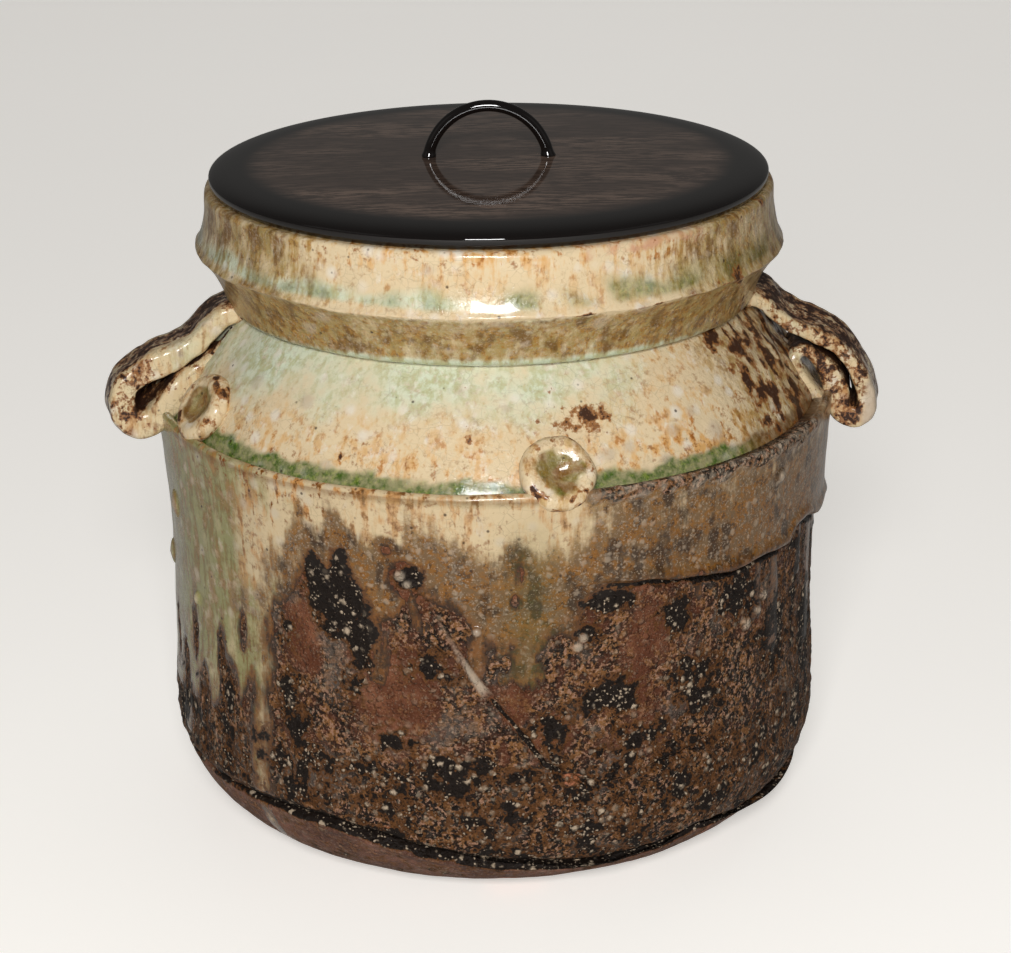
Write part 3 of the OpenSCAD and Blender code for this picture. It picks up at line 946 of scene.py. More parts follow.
@dataclass
class Drum:
    """Drum of the jar: a base slab and a wall set on it, with a ragged seam between them."""

    radius: float = 97.5
    height: float = 128.0
    heel_w: float = 34.0
    heel_h: float = 30.0
    waist: float = 1.6
    flare: float = 0.8
    lip_w: float = 2.8
    seat: float = 126.0
    room_r: float = 88.5
    floor: float = 10.0
    floor_round: float = 14.0
    seam_height: float = 18.0
    seam_fall: float = 6.8
    seam_reach: float = 58.0
    seam_gap: float = 2.3
    seam_in: float = 2.4
    lap_height: float = 84.0
    lap_rise: float = 14.5
    lap_turn: float = 35.0
    lap_out: float = 2.2
    lap_least: float = 0.2
    worked_low: float = 36.0
    worked_high: float = 100.0
    gouge_turn: float = 20.0
    skin: float = 3.0
    rows: int = 142
    lap_sway: Curve = (
        (5, 0), (17, 2.5), (24, 1.1), (31.5, -1.2), (36.6, -2.5), (42, -3.4), (50, -2),
        (56.4, -2.7), (60, 1.6), (64.6, 2.5), (72.6, 0), (90, 0)
    )
    seam_sway: Curve = (
        (-75, 0), (-55, 2), (-36.8, 4.6), (-28.5, 4.8), (-21.4, 3.4), (-9.5, 1), (4.1, -2.6),
        (11.3, -3.4), (19, -3.4), (28.7, -1.6), (38, 3.4), (50, 1.5), (70, 0)
    )
    glaze_foot: Curve = (
        (-180, 78), (-150, 64), (-120, 66), (-95, 46), (-80, 40), (-66, 43), (-57, 46), (-48, 52),
        (-44, 66), (-41, 79), (-38.5, 87), (-34.5, 92), (-32.6, 97), (-30.7, 104), (-28, 100.5),
        (-25, 105.5), (-22.6, 100), (-20.4, 93.6), (-18.5, 88), (-16, 90), (-13.5, 96), (-10, 97),
        (-6, 93), (-2, 86), (0, 82), (9, 84), (13, 89), (16.5, 97), (28, 97), (36, 96), (46, 95),
        (57, 94), (60, 97), (65, 97), (70, 92), (90, 80), (120, 70), (150, 84), (180, 78)
    )
    runs: Scatter = scattered(
        Run, (-84, 34, 13), (-76, 44, 10), (-69, 30, 11), (-60, 38, 9), (-50.5, 52, 8),
        (-42.3, 17, 11), (-19, 70, 7), (-12, 86, 6), (-2.2, 73, 9), (1.5, 72, 6), (5.8, 70, 12),
        (12, 85, 7), (36, 89, 4), (49.5, 76, 5), (55, 62, 7), (65, 80, 5), (73, 54, 10),
        (88, 66, 7)
    )
    scorches: Scatter = scattered(
        Blot, (-26, 94, 16, 16, 1.3), (-30, 101, 5, 11, 1.2), (-25, 103, 5, 10, 1.2),
        (-22, 84, 9, 16, 1.1), (-12.7, 104, 9, 8, 0.8), (-9, 77, 22, 10, 0.75),
        (-23.7, 66, 9, 20, 0.6), (-35.5, 80, 11, 15, 0.6), (-36.5, 60, 14, 20, 0.65),
        (18.5, 94, 12, 6, 1.2), (15.5, 87, 9, 10, 0.9), (31.5, 86, 12, 13, 0.9),
        (45, 86, 14, 16, 0.95), (20, 66, 20, 12, 0.85), (9.7, 58, 14, 12, 0.75),
        (-53.6, 64, 2.6, 8, 0.8), (-51.1, 53, 5, 12, 0.9), (-63.6, 65, 2.4, 7, 0.8),
        (-60, 45, 4.4, 12, 0.8), (-70, 46, 4.4, 13, 0.8), (-50, 36, 16, 14, 0.6),
        (36, 68, 20, 14, 0.75), (56, 68, 22, 28, 0.8), (-18, 54, 24, 12, 0.6),
        (28, 44, 34, 11, 0.7), (-6, 42, 36, 12, 0.75), (72, 60, 26, 34, 0.85),
        (-72, 36, 34, 16, 0.75), (82, 84, 16, 18, 0.7), (24, 52, 28, 10, 0.85),
        (37, 59, 18, 10, 0.8), (-7, 47, 28, 9, 0.85), (-34, 49, 14, 14, 0.8)
    )
    holes: Scatter = scattered(
        Blot, (-53.6, 65, 2.6, 9, 2.6), (-51.1, 53, 5.0, 13, 5.0), (-63.7, 66, 2.4, 9, 2.4),
        (-47.2, 75.8, 2.2, 6.5, 2.2), (-60, 45, 4.4, 13, 4.4), (-70, 47, 4.4, 15, 4.4),
        (-77, 56, 3.0, 11, 3.0), (-14.2, 103, 5.0, 6, 5.0), (-9.2, 93.5, 3.2, 2.4, 3.2),
        (-16.5, 111, 2.0, 2.0, 2.0), (4.3, 106, 1.8, 4.5, 1.8), (3.6, 97, 1.9, 2.6, 1.9),
        (1.6, 78, 3.0, 3.4, 3.0)
    )
    smooth: Scatter = scattered(
        Blot, (25.5, 76, 10, 26), (-16, 68, 14, 20), (-33, 80, 8, 14), (-20.5, 82, 6, 14),
        (9, 56, 8, 9), (3, 66, 6, 8)
    )
    stones: Scatter = scattered(
        Blot, (-71, 101, 3.2, 4.4), (-82, 79, 2.6, 4.0), (-62, 77, 1.6, 2.2), (47, 76, 2.2, 2.2),
        (52, 82, 1.8, 2.0), (49.5, 79, 1.6, 1.6), (53, 118, 2.2, 2.2), (14.5, 84.5, 1.7, 1.7),
        (13.6, 82, 1.9, 1.9), (-14.6, 104, 2.0, 2.0), (-13.4, 101.5, 1.5, 1.5),
        (-2.6, 88, 1.6, 1.6)
    )
    gouge: Curve = ((-10.7, 96), (-5.3, 80), (-2, 71), (3, 60), (8.1, 47.5), (12.5, 43))
    tear: Curve = ((11, 44), (17, 40), (22, 39.5), (27, 42.4), (34, 44), (41, 47))
    torn: Scatter = scattered(
        Blot, (12.8, 42.6, 6.5, 3.2, 1.2), (-18, 27, 3.5, 2.2), (-12, 21.5, 3.5, 1.6),
        (33, 22, 4, 2, 0.8), (-4, 17.5, 3, 1.6)
    )
    stray: random.Random = field(default_factory=lambda: random.Random(31))

    def __post_init__(self) -> None:
        """Add runs, scorches and stones on the side that the photograph hides."""
        around = [self.stray.uniform(96, 262) for _ in range(34)]
        pick = self.stray.uniform
        runs = [Run(a, pick(28, 62), pick(5, 12)) for a in around[:14]]
        scorches = [
            Blot(a, pick(40, 92), pick(8, 24), pick(8, 20), pick(0.5, 1.0)) for a in around[14:26]
        ]
        stones = [Blot(a, pick(50, 120), 2.2, pick(1.8, 3)) for a in around[26:]]
        self.runs = Scatter([*self.runs.marks, *runs])
        self.scorches = Scatter([*self.scorches.marks, *scorches])
        self.stones = Scatter([*self.stones.marks, *stones])

    def side(self, height: float) -> float:
        """Plain radius of the drum's outside.

        Args:
            height: Height in millimetres.

        Returns:
            Radius in millimetres.
        """
        if height < self.heel_h:
            drop = 1.0 - max(0.0, height) / self.heel_h
            return self.radius - self.heel_w + self.heel_w * math.sqrt(1.0 - drop * drop)
        share = (height - self.heel_h) / (self.height - self.lip_w / 2 - self.heel_h)
        return self.radius + self.flare * share - self.waist * math.sin(math.pi * min(1.0, share))

    def seam(self, azimuth: float) -> float:
        """Height of the seam between slab and wall at an azimuth."""
        plain = self.seam_height - self.seam_fall * math.sin(math.radians(azimuth))
        return plain + 1.1 * wander(azimuth, 4.0, 8.0) + follow(self.seam_sway, azimuth)

    def gaping(self, azimuth: float) -> float:
        """Share to which the seam gapes at an azimuth."""
        return 0.35 + 0.65 * max(bell(azimuth + 14.0, 30.0), 0.8 * bell(azimuth - 30.0, 26.0))

    def ledge(self, azimuth: float) -> float:
        """Height of the lapped band's lower edge at an azimuth."""
        rise = self.lap_rise * math.cos(math.radians(azimuth) - math.radians(self.lap_turn))
        plain = self.lap_height + rise
        return plain + 0.9 * wander(azimuth, 9.0, 2.0) + follow(self.lap_sway, azimuth)

    def worked(self, place: Place, turn: float) -> bool:
        """Whether a place is at the height of the tool's strokes, up to a turn from the front."""
        return abs(place.azimuth) < turn and self.worked_low < place.height < self.worked_high

    def off_stroke(self, place: Place, route: Sequence[tuple[float, float]]) -> tuple[float, float]:
        """Distance of a place from a tool's stroke.

        Args:
            place: Place on the wall.
            route: Azimuths and heights that the stroke passes through.

        Returns:
            Distance in millimetres, and the share of the stroke's length at the nearest point.
        """
        here = Vector((0.0, place.height))
        best, where = 1e9, 0.0
        spots = [Vector((-place.across(azimuth), height)) for azimuth, height in route]
        for number, (a, b) in enumerate(zip(spots, spots[1:])):
            along = b - a
            share = min(1.0, max(0.0, (here - a).dot(along) / along.length_squared))
            gap = (here - a - along * share).length
            if gap < best:
                best, where = gap, (number + share) / (len(spots) - 1)
        return best, where

    def glaze(self, place: Place) -> float:
        """Distance of a place inside the glaze's edge.

        Args:
            place: Place on the wall.

        Returns:
            Distance in millimetres, below 0 on bare clay.
        """
        depth = max(place.height - follow(self.glaze_foot, place.azimuth), self.runs.top(place))
        hole = self.holes.top(place)
        off_hole = 1.0 - (1.8 if hole > 0.0 else 7.0) * hole
        return max(-15.0, min(FULL_GLAZE, depth, off_hole))

    def relief(self, place: Place, depth: float) -> float:
        """Millimetres that a place of the outside stands proud of the plain drum.

        Args:
            place: Place on the plain drum.
            depth: Distance inside the glaze's edge.

        Returns:
            Rise, below 0 for a hollow.
        """
        rise = place.lumps((1.0, 58.0), (0.45, 21.0, 3.0), (0.16, 7.0, 5.0))
        over = place.height - self.ledge(place.azimuth)
        right = plateau(8.0, 30.0, 110.0, 150.0, place.azimuth)
        step = self.lap_least + self.lap_out / 2 * (1.0 + math.sin(math.radians(place.azimuth)))
        soft = 0.6 + 5.4 * (1.0 - right)
        rise += step * ease(-soft, soft, over)
        rise += right * (0.9 * bell(over - 1.8, 1.8) - 1.9 * bell(over + 0.9, 0.9))
        rise += 0.3 * ease(-0.4, 1.6, depth) + 0.22 * bell(depth - 1.4, 1.3)
        if self.worked(place, 45.0):
            gap, where = self.off_stroke(place, self.gouge)
            groove = (0.4 + 0.9 * where) * ease(1.6, 0.2, gap) * ease(1.0, 0.9, where)
            rise += 0.4 * bell(gap - 2.2, 0.9) - groove
            gap, where = self.off_stroke(place, self.tear)
            ragged = 0.8 * bell(gap - 2.0, 1.2) - 1.1 * ease(1.4, 0.2, gap)
            rise += plateau(0.0, 0.1, 0.8, 1.0, where) * ragged
        rise += 1.3 * math.sqrt(max(0.0, self.stones.top(place)))
        bare = ease(0.5, -1.0, depth)
        rough = (1.0 - 0.8 * self.smooth.share(place)) * ease(100.0, 60.0, place.height)
        return rise + bare * rough * place.lumps((0.5, 4.2, 9.0), (0.36, 2.2, 6.0))

    def wall_paint(self, vert: bmesh.types.BMVert) -> Paint:
        """Marks of a point of the wall.

        Args:
            vert: Point in millimetres.

        Returns:
            Its marks.
        """
        place = Place.of(vert.co)
        if place.radius < self.radius - 2.0 * self.skin and place.height > 40.0:
            return INSIDE_PAINT
        turn, height, shown = place.azimuth, place.height, place.shown
        depth = self.glaze(place)
        crumbly = self.crumbly(place)
        scrape = self.scrape(place)
        stone = self.stones.top(place)
        mealy = 1.0 - self.smooth.share(place)

        left = ease(-22.0, -62.0, turn + 16.0 * place.drag(5.0, 40.0, 3.0))
        left *= ease(-175.0, -120.0, turn)
        middle = plateau(-36.0, -20.0, 8.0, 18.0, turn)
        right = plateau(8.0, 22.0, 110.0, 160.0, turn)
        top = ease(124.0, 127.0, height)
        low = ease(64.0, 42.0, height)
        olive = bell(place.across(6.0), 7.0) * ease(127.0, 112.0, height)
        pooled = 0.9 * top * ease(127.0, 126.3, height) * (1.0 - crumbly)
        stained = plateau(-90.0, -62.0, -32.0, -18.0, turn)
        stained *= ease(112.0, 125.0, height + 3.0 * place.drag(3.0, 20.0))

        # Painted shade: a dark band along the underside of the lapped ledge, wider towards the
        # right.
        far = 0.8 * ease(30.0, 52.0, turn)
        ledge_shade = right * bell(height - self.ledge(turn) + 1.0 + far, 1.0 + far)
        ledge_shade *= ease(14.0, 22.0, turn)
        # Painted shade in the gap of the seam just above the slab.
        seam_shade = 1.2 * ease(2.6, 1.0, height - self.seam(turn)) * self.gaping(turn)
        # Darker sides: partly scorched streaks, partly painted shade where the light falls off
        # towards the sides.
        flank_scorch_and_shade = max(
            plateau(48.0, 66.0, 120.0, 150.0, turn) * ease(98.0, 90.0, height),
            plateau(-150.0, -120.0, -72.0, -58.0, turn) * ease(58.0, 44.0, height),
        ) * (0.45 + 0.5 * place.drag(4.0, 36.0, 5.0))
        scorch = max(self.scorches.share(place), 0.46 * low, 0.9 * ledge_shade, seam_shade, flank_scorch_and_shade)
        crust = max(
            0.75 * low,
            0.62 * mealy * ease(102.0, 92.0, height),
            0.7 * ease(12.0, 34.0, turn) * ease(90.0, 68.0, height) * shown,
            0.5 * ease(-20.0, -34.0, turn) * ease(84.0, 66.0, height) * shown,
            crumbly,
        )
        haze = 0.75 * right + middle * (0.12 + 0.75 * ease(119.0, 102.0, height))
        beads = 0.5 * crumbly * ease(-0.1, 0.3, place.lump(1.5, 7.0))
        return {
            Mark.GLAZE: depth + (NO_GLAZE - depth) * crumbly,
            Mark.MINT: 0.95 * left + 0.25 * olive,
            Mark.MOSS: 0.3 * olive + pooled,
            Mark.HAZE: haze + left * 0.12 * ease(96.0, 60.0, height),
            Mark.SCORCH: scorch * (1.0 - abs(scrape)) + 0.9 * max(0.0, -scrape),
            Mark.CRUST: crust * (1.0 - abs(scrape)),
            Mark.STONE: max(0.6 * ease(0.0, 0.6, stone), 0.75 * max(0.0, scrape), beads),
            Mark.BLUSH: 0.9 * self.torn.share(place),
            Mark.RUST: 0.65 + 0.2 * top + 0.25 * ease(20.0, 60.0, turn) * shown + 0.6 * stained,
        }

    def crumbly(self, place: Place) -> float:
        """Share of the bare, crumbly clay along the lip on the right."""
        height = place.height + 2.2 * place.lump(4.0, 2.0)
        return plateau(12.0, 19.0, 62.0, 74.0, place.azimuth) * ease(123.4, 125.0, height)

    def scrape(self, place: Place) -> float:
        """Colour along the tool's gouge: pale scraped clay in its upper part, darker in the groove
        below.

        Args:
            place: Place on the wall.

        Returns:
            1 for pale scraped clay, -1 for a dark groove, 0 away from the gouge.
        """
        if abs(place.azimuth) > self.gouge_turn:
            return 0.0
        gap, where = self.off_stroke(place, self.gouge)
        pale = plateau(0.02, 0.1, 0.4, 0.46, where) * (0.25 + 0.75 * ease(0.12, 0.36, where))
        pale *= ease(0.3 + 3.4 * where, 0.1 + 2.0 * where, gap)
        groove = plateau(0.4, 0.5, 0.85, 0.97, where) * ease(0.9, 0.3, gap)
        return pale - 0.8 * groove

    def wall(self, material: bpy.types.Material) -> None:
        """Build the wall with its lip, ledge, runs of glaze and tool marks.

        Args:
            material: Its finish.
        """
        lip_r = self.lip_w / 2
        lip_z = self.height - lip_r
        foot_in = self.room_r - self.floor_round + math.sqrt(
            self.floor_round ** 2 - (self.floor + self.floor_round - self.seam_height) ** 2)
        tall = lip_z - self.seam_height
        heights = [self.seam_height + tall * i / self.rows for i in range(self.rows + 1)]
        outside = [(self.side(height), height) for height in heights]
        lip = arc((self.radius + self.flare - lip_r, lip_z), lip_r, 12, 180, 9)
        corners = (
            (lip[-1][0], self.seat), (self.room_r, self.seat),
            (self.room_r, self.floor + self.floor_round), (foot_in, self.seam_height), outside[0]
        )
        inside = [
            point for start, end, steps in zip(corners, corners[1:], (3, 8, 3, 4))
            for point in line(start, end, steps)
        ]
        mesh = turned(outside + lip + inside, closed=True)
        self._refine(mesh)
        for vert in mesh.verts:
            place = Place.of(vert.co)
            plain = self.side(place.height)
            drop = self.seam(place.azimuth) - self.seam_height
            if place.height <= lip_z and abs(place.radius - plain) < 0.05 or place.height > lip_z:
                vert.co = self._pushed(place, plain, drop, lip_z)
            else:
                vert.co.z += drop * ease(self.seam_reach, self.seam_height, place.height)
        painted(mesh, self.wall_paint)
        finished(mesh, "wall", Body.JAR, material)

    def _refine(self, mesh: bmesh.types.BMesh) -> None:
        """Cut the faces round the gouge and the stones finer, so that they keep their shape.

        Args:
            mesh: Mesh of the plain wall in millimetres.
        """
        near = set()
        for vert in mesh.verts:
            place = Place.of(vert.co)
            if place.radius <= self.radius - self.skin:
                continue
            worked = self.worked(place, self.gouge_turn)
            gouged = worked and self.off_stroke(place, self.gouge)[0] < 5.0
            if gouged or self.stones.top(place) > -0.8:
                near.add(vert)
        edges = [edge for edge in mesh.edges if all(vert in near for vert in edge.verts)]
        bmesh.ops.subdivide_edges(mesh, edges=edges, cuts=2, use_grid_fill=True)

    def _pushed(self, place: Place, plain: float, drop: float, lip_z: float) -> Vector:
        """Uneven place of a point of the wall's outside.

        Args:
            place: Place on the plain drum.
            plain: Radius of the plain drum there.
            drop: Rise of the seam below the point.
            lip_z: Height where the lip begins.

        Returns:
            New point.
        """
        height = place.height + drop * ease(self.seam_reach, self.seam_height, place.height)
        lip = ease(lip_z - 2.0, lip_z, place.height)
        base = place.radius if place.height > lip_z else self.side(height)
        out = place.outward
        moved = Place.of(out * base + Vector((0.0, 0.0, height)))
        rise = self.relief(moved, self.glaze(moved))
        near_seam = 1.0 - ease(0.0, 2.8, height - self.seam(place.azimuth))
        rise -= self.seam_in * near_seam * self.gaping(place.azimuth)
        rough = self.crumbly(moved)
        height += lip * (0.35 * moved.lump(17.0, 4.0) + rough * 0.6 * moved.lump(2.6, 6.0))
        rise += rough * (0.2 + 0.7 * abs(moved.lump(2.4, 1.0)))
        return out * (base + rise) + Vector((0.0, 0.0, height))

    def slab_paint(self, vert: bmesh.types.BMVert) -> Paint:
        """Marks of a point of the base slab.

        Args:
            vert: Point in millimetres.

        Returns:
            Its marks.
        """
        place = Place.of(vert.co)
        if place.radius < 60.0 and place.height > 5.0:
            return INSIDE_PAINT
        turn, height = place.azimuth, place.height
        left = plateau(-100.0, -60.0, -44.0, -34.0, turn)
        raw = ease(7.0, 2.5, height + 2.0 * place.lump(8.0))
        run = bell(place.across(-43.0), 4.0) if abs(turn_between(-43.0, turn)) <= 12.0 else 0.0
        # Painted shade in the gap of the seam along the slab's upper edge.
        seam_shade = 1.2 * self.gaping(turn) * ease(2.8, 1.8, self.seam(turn) - height)
        torn = ease(0.15, 0.5, place.lump(12.0, 3.0)) * ease(-30.0, 0.0, turn) * place.shown
        return {
            Mark.GLAZE: NO_GLAZE + 12.0 * run * ease(4.0, 9.0, height),
            Mark.SCORCH: max(0.24 * (1.0 - raw) * (1.0 - left) + 0.05, seam_shade),
            Mark.CRUST: 0.3 * (1.0 - raw) + 0.1,
            Mark.BLUSH: 0.48 * torn + 0.3 * raw,
            Mark.RUST: 0.5,
        }

    def slab(self, material: bpy.types.Material) -> None:
        """Build the base slab, rounded below and torn along its upper edge.

        Args:
            material: Its finish.
        """
        foot = self.radius - self.heel_w
        start = math.degrees(math.acos(1.0 - self.seam_height / self.heel_h))
        heel = [
            (foot + self.heel_w * math.sin(a), self.heel_h * (1.0 - math.cos(a)))
            for a in (math.radians(start * i / 44) for i in range(45))
        ]
        above = self.floor + self.floor_round - self.seam_height
        turn = math.degrees(math.asin(above / self.floor_round))
        centre = (self.room_r - self.floor_round, self.floor + self.floor_round)
        room = arc(centre, self.floor_round, -turn, -90, 6)
        outline = line((0.0, 0.0), heel[0], 10) + heel + line(heel[-1], room[0], 4)[1:] + room
        outline += line((room[-1][0], self.floor), (0.0, self.floor), 5)[1:] + [(0.0, self.floor)]
        mesh = turned(outline, closed=False)
        for vert in mesh.verts:
            place = Place.of(vert.co)
            rim = place.height / self.seam_height
            if abs(place.radius - self.side(place.height)) < 0.01 and place.height > 0.01:
                wide = self.seam_gap * self.gaping(place.azimuth)
                height = rim * (self.seam(place.azimuth) - wide)
                rise = place.lumps((0.5, 32.0), (0.35, 9.0, 4.0), (0.2, 3.0, 2.0))
                bulge = 1.3 * bell(place.azimuth + 18.0, 28.0) - 0.9 * ease(0.95, 1.0, rim)
                rise += ease(0.8, 1.0, rim) * bulge
                radius = self.side(height) + rise * ease(0.0, 4.0, place.height)
                vert.co = place.outward * radius + Vector((0, 0, height))
            elif rim > 0.6:
                lift = self.seam(place.azimuth) - 0.4 - self.seam_height
                vert.co.z += lift * ease(0.6, 1.0, rim)
        painted(mesh, self.slab_paint)
        finished(mesh, "base_slab", Body.JAR, material)


@dataclass
class Shoulder:
    """Sloping shoulder from its seat in the drum's lip up to the neck."""

    seat_r: float = 95.5
    seat_z: float = 126.0
    neck_r: float = 73.5
    neck_z: float = 156.0
    thick: float = 8.0
    swell: float = 1.5
    rows: int = 60
    spots: Scatter = scattered(
        Blot, (16.0, 143, 16, 8, 1.0), (-4, 139, 1.6, 3.4), (-22, 137, 1.8, 1.8),
        (-26, 133, 2.0, 3.0), (-40, 132, 1.2, 3.0), (52, 151, 5, 8), (58, 147, 6, 10),
        (66, 150, 6, 12), (62, 139, 5, 6, 0.8)
    )
    stones: Scatter = scattered(
        Blot, (42, 134, 3.6, 3.2), (-50, 145, 3.0, 2.6), (-36, 144, 3.0, 2.2),
        (33, 137, 2.4, 2.0), (24, 135, 2.2, 2.0), (-28, 131, 2.2, 1.5), (20, 134, 3.0, 2.0),
        (30, 131, 2.4, 1.6), (38, 140, 1.8, 1.6), (-57, 133, 1.6, 1.6), (3, 146, 1.4, 1.2)
    )

    @property
    def up(self) -> Vector:
        """Direction up the slope, as radius and height."""
        return Vector((self.neck_r - self.seat_r, self.neck_z - self.seat_z)).normalized()

    @property
    def off(self) -> Vector:
        """Direction square off the slope, as radius and height."""
        return Vector((self.up.y, -self.up.x))

    def spot(self, along: float, away: float) -> Vector:
        """Radius and height of a spot that is given up the slope and off it."""
        return Vector((self.seat_r, self.seat_z)) + self.up * along + self.off * away

    def outline(self) -> Outline:
        """Outside of the shoulder from its seat to the neck.

        Returns:
            Points of the outside.
        """
        foot, top = Vector((self.seat_r, self.seat_z)), Vector((self.neck_r, self.neck_z))
        pull = (foot + top) / 2 + self.off * 2.0 * self.swell
        return bow(foot, pull, top, self.rows) + [tuple(top)]

    def climbed(self, height: float) -> float:
        """Share of the way from the seat to the neck at a height."""
        return (height - self.seat_z) / (self.neck_z - self.seat_z)

    def raised(self, place: Place, rise: float) -> Vector:
        """Way square off the slope at a place, with its length in millimetres."""
        return (place.outward * self.off.x + Vector((0, 0, self.off.y))) * rise

    def paint(self, vert: bmesh.types.BMVert) -> Paint:
        """Marks of a point of the shoulder.

        Args:
            vert: Point in millimetres.

        Returns:
            Its marks.
        """
        place = Place.of(vert.co)
        turn = place.azimuth
        share = self.climbed(place.height)
        far_left = ease(-30.0, -55.0, turn) * place.shown
        drawn = place.lumps((0.06, 6.0), (0.03, 2.4, 3.0))
        drawn += 0.03 * bell(turn + 8.0, 14.0) - 0.05 * far_left
        pool = ease(0.16, 0.1, share + drawn)
        minty = ease(0.3, 0.85, share) * ease(48.0, 16.0, turn) * place.shown
        darkened = plateau(46.0, 60.0, 96.0, 120.0, turn)
        dry = 0.22 + 0.5 * ease(0.7, 0.2, share) + 0.5 * darkened
        dry += 0.3 * ease(14.0, 40.0, turn) * place.shown
        resin = plateau(30.0, 60.0, 120.0, 170.0, turn)
        return {
            Mark.GLAZE: FULL_GLAZE,
            Mark.MINT: 0.6 * minty + 0.25 * far_left,
            Mark.MOSS: pool,
            Mark.HAZE: 0.5 * plateau(36.0, 58.0, 120.0, 150.0, turn),
            Mark.SCORCH: max(
                0.6 * self.spots.share(place), darkened * (0.42 + 0.5 * place.drag(3.2, 30.0))
            ),
            Mark.STONE: 0.55 * ease(0.0, 0.5, self.stones.top(place)),
            Mark.RUST: dry * (1.0 - pool) + pool * resin,
        }

    def build(self, material: bpy.types.Material) -> None:
        """Build the shoulder.

        Args:
            material: Its finish.
        """
        outside = self.outline()
        inside = [(r - self.thick, z) for r, z in outside[::-6]]
        mesh = turned(outside + inside, closed=True)
        plain = [(z, r) for r, z in outside]
        for vert in mesh.verts:
            place = Place.of(vert.co)
            if follow(plain, place.height) - place.radius > self.thick / 2:
                continue
            free = plateau(0.0, 0.1, 0.94, 1.0, self.climbed(place.height))
            rise = place.lumps((0.55, 44.0), (0.3, 14.0, 3.0), (0.1, 5.0, 8.0))
            luted = plateau(54.0, 70.0, 98.0, 110.0, place.azimuth)
            rise += luted * 0.9 * place.drag(3.4, 40.0, 2.0)
            rise += 0.35 * math.sqrt(max(0.0, self.stones.top(place)))
            vert.co += self.raised(place, rise) * free
        painted(mesh, self.paint)
        finished(mesh, "shoulder", Body.JAR, material)


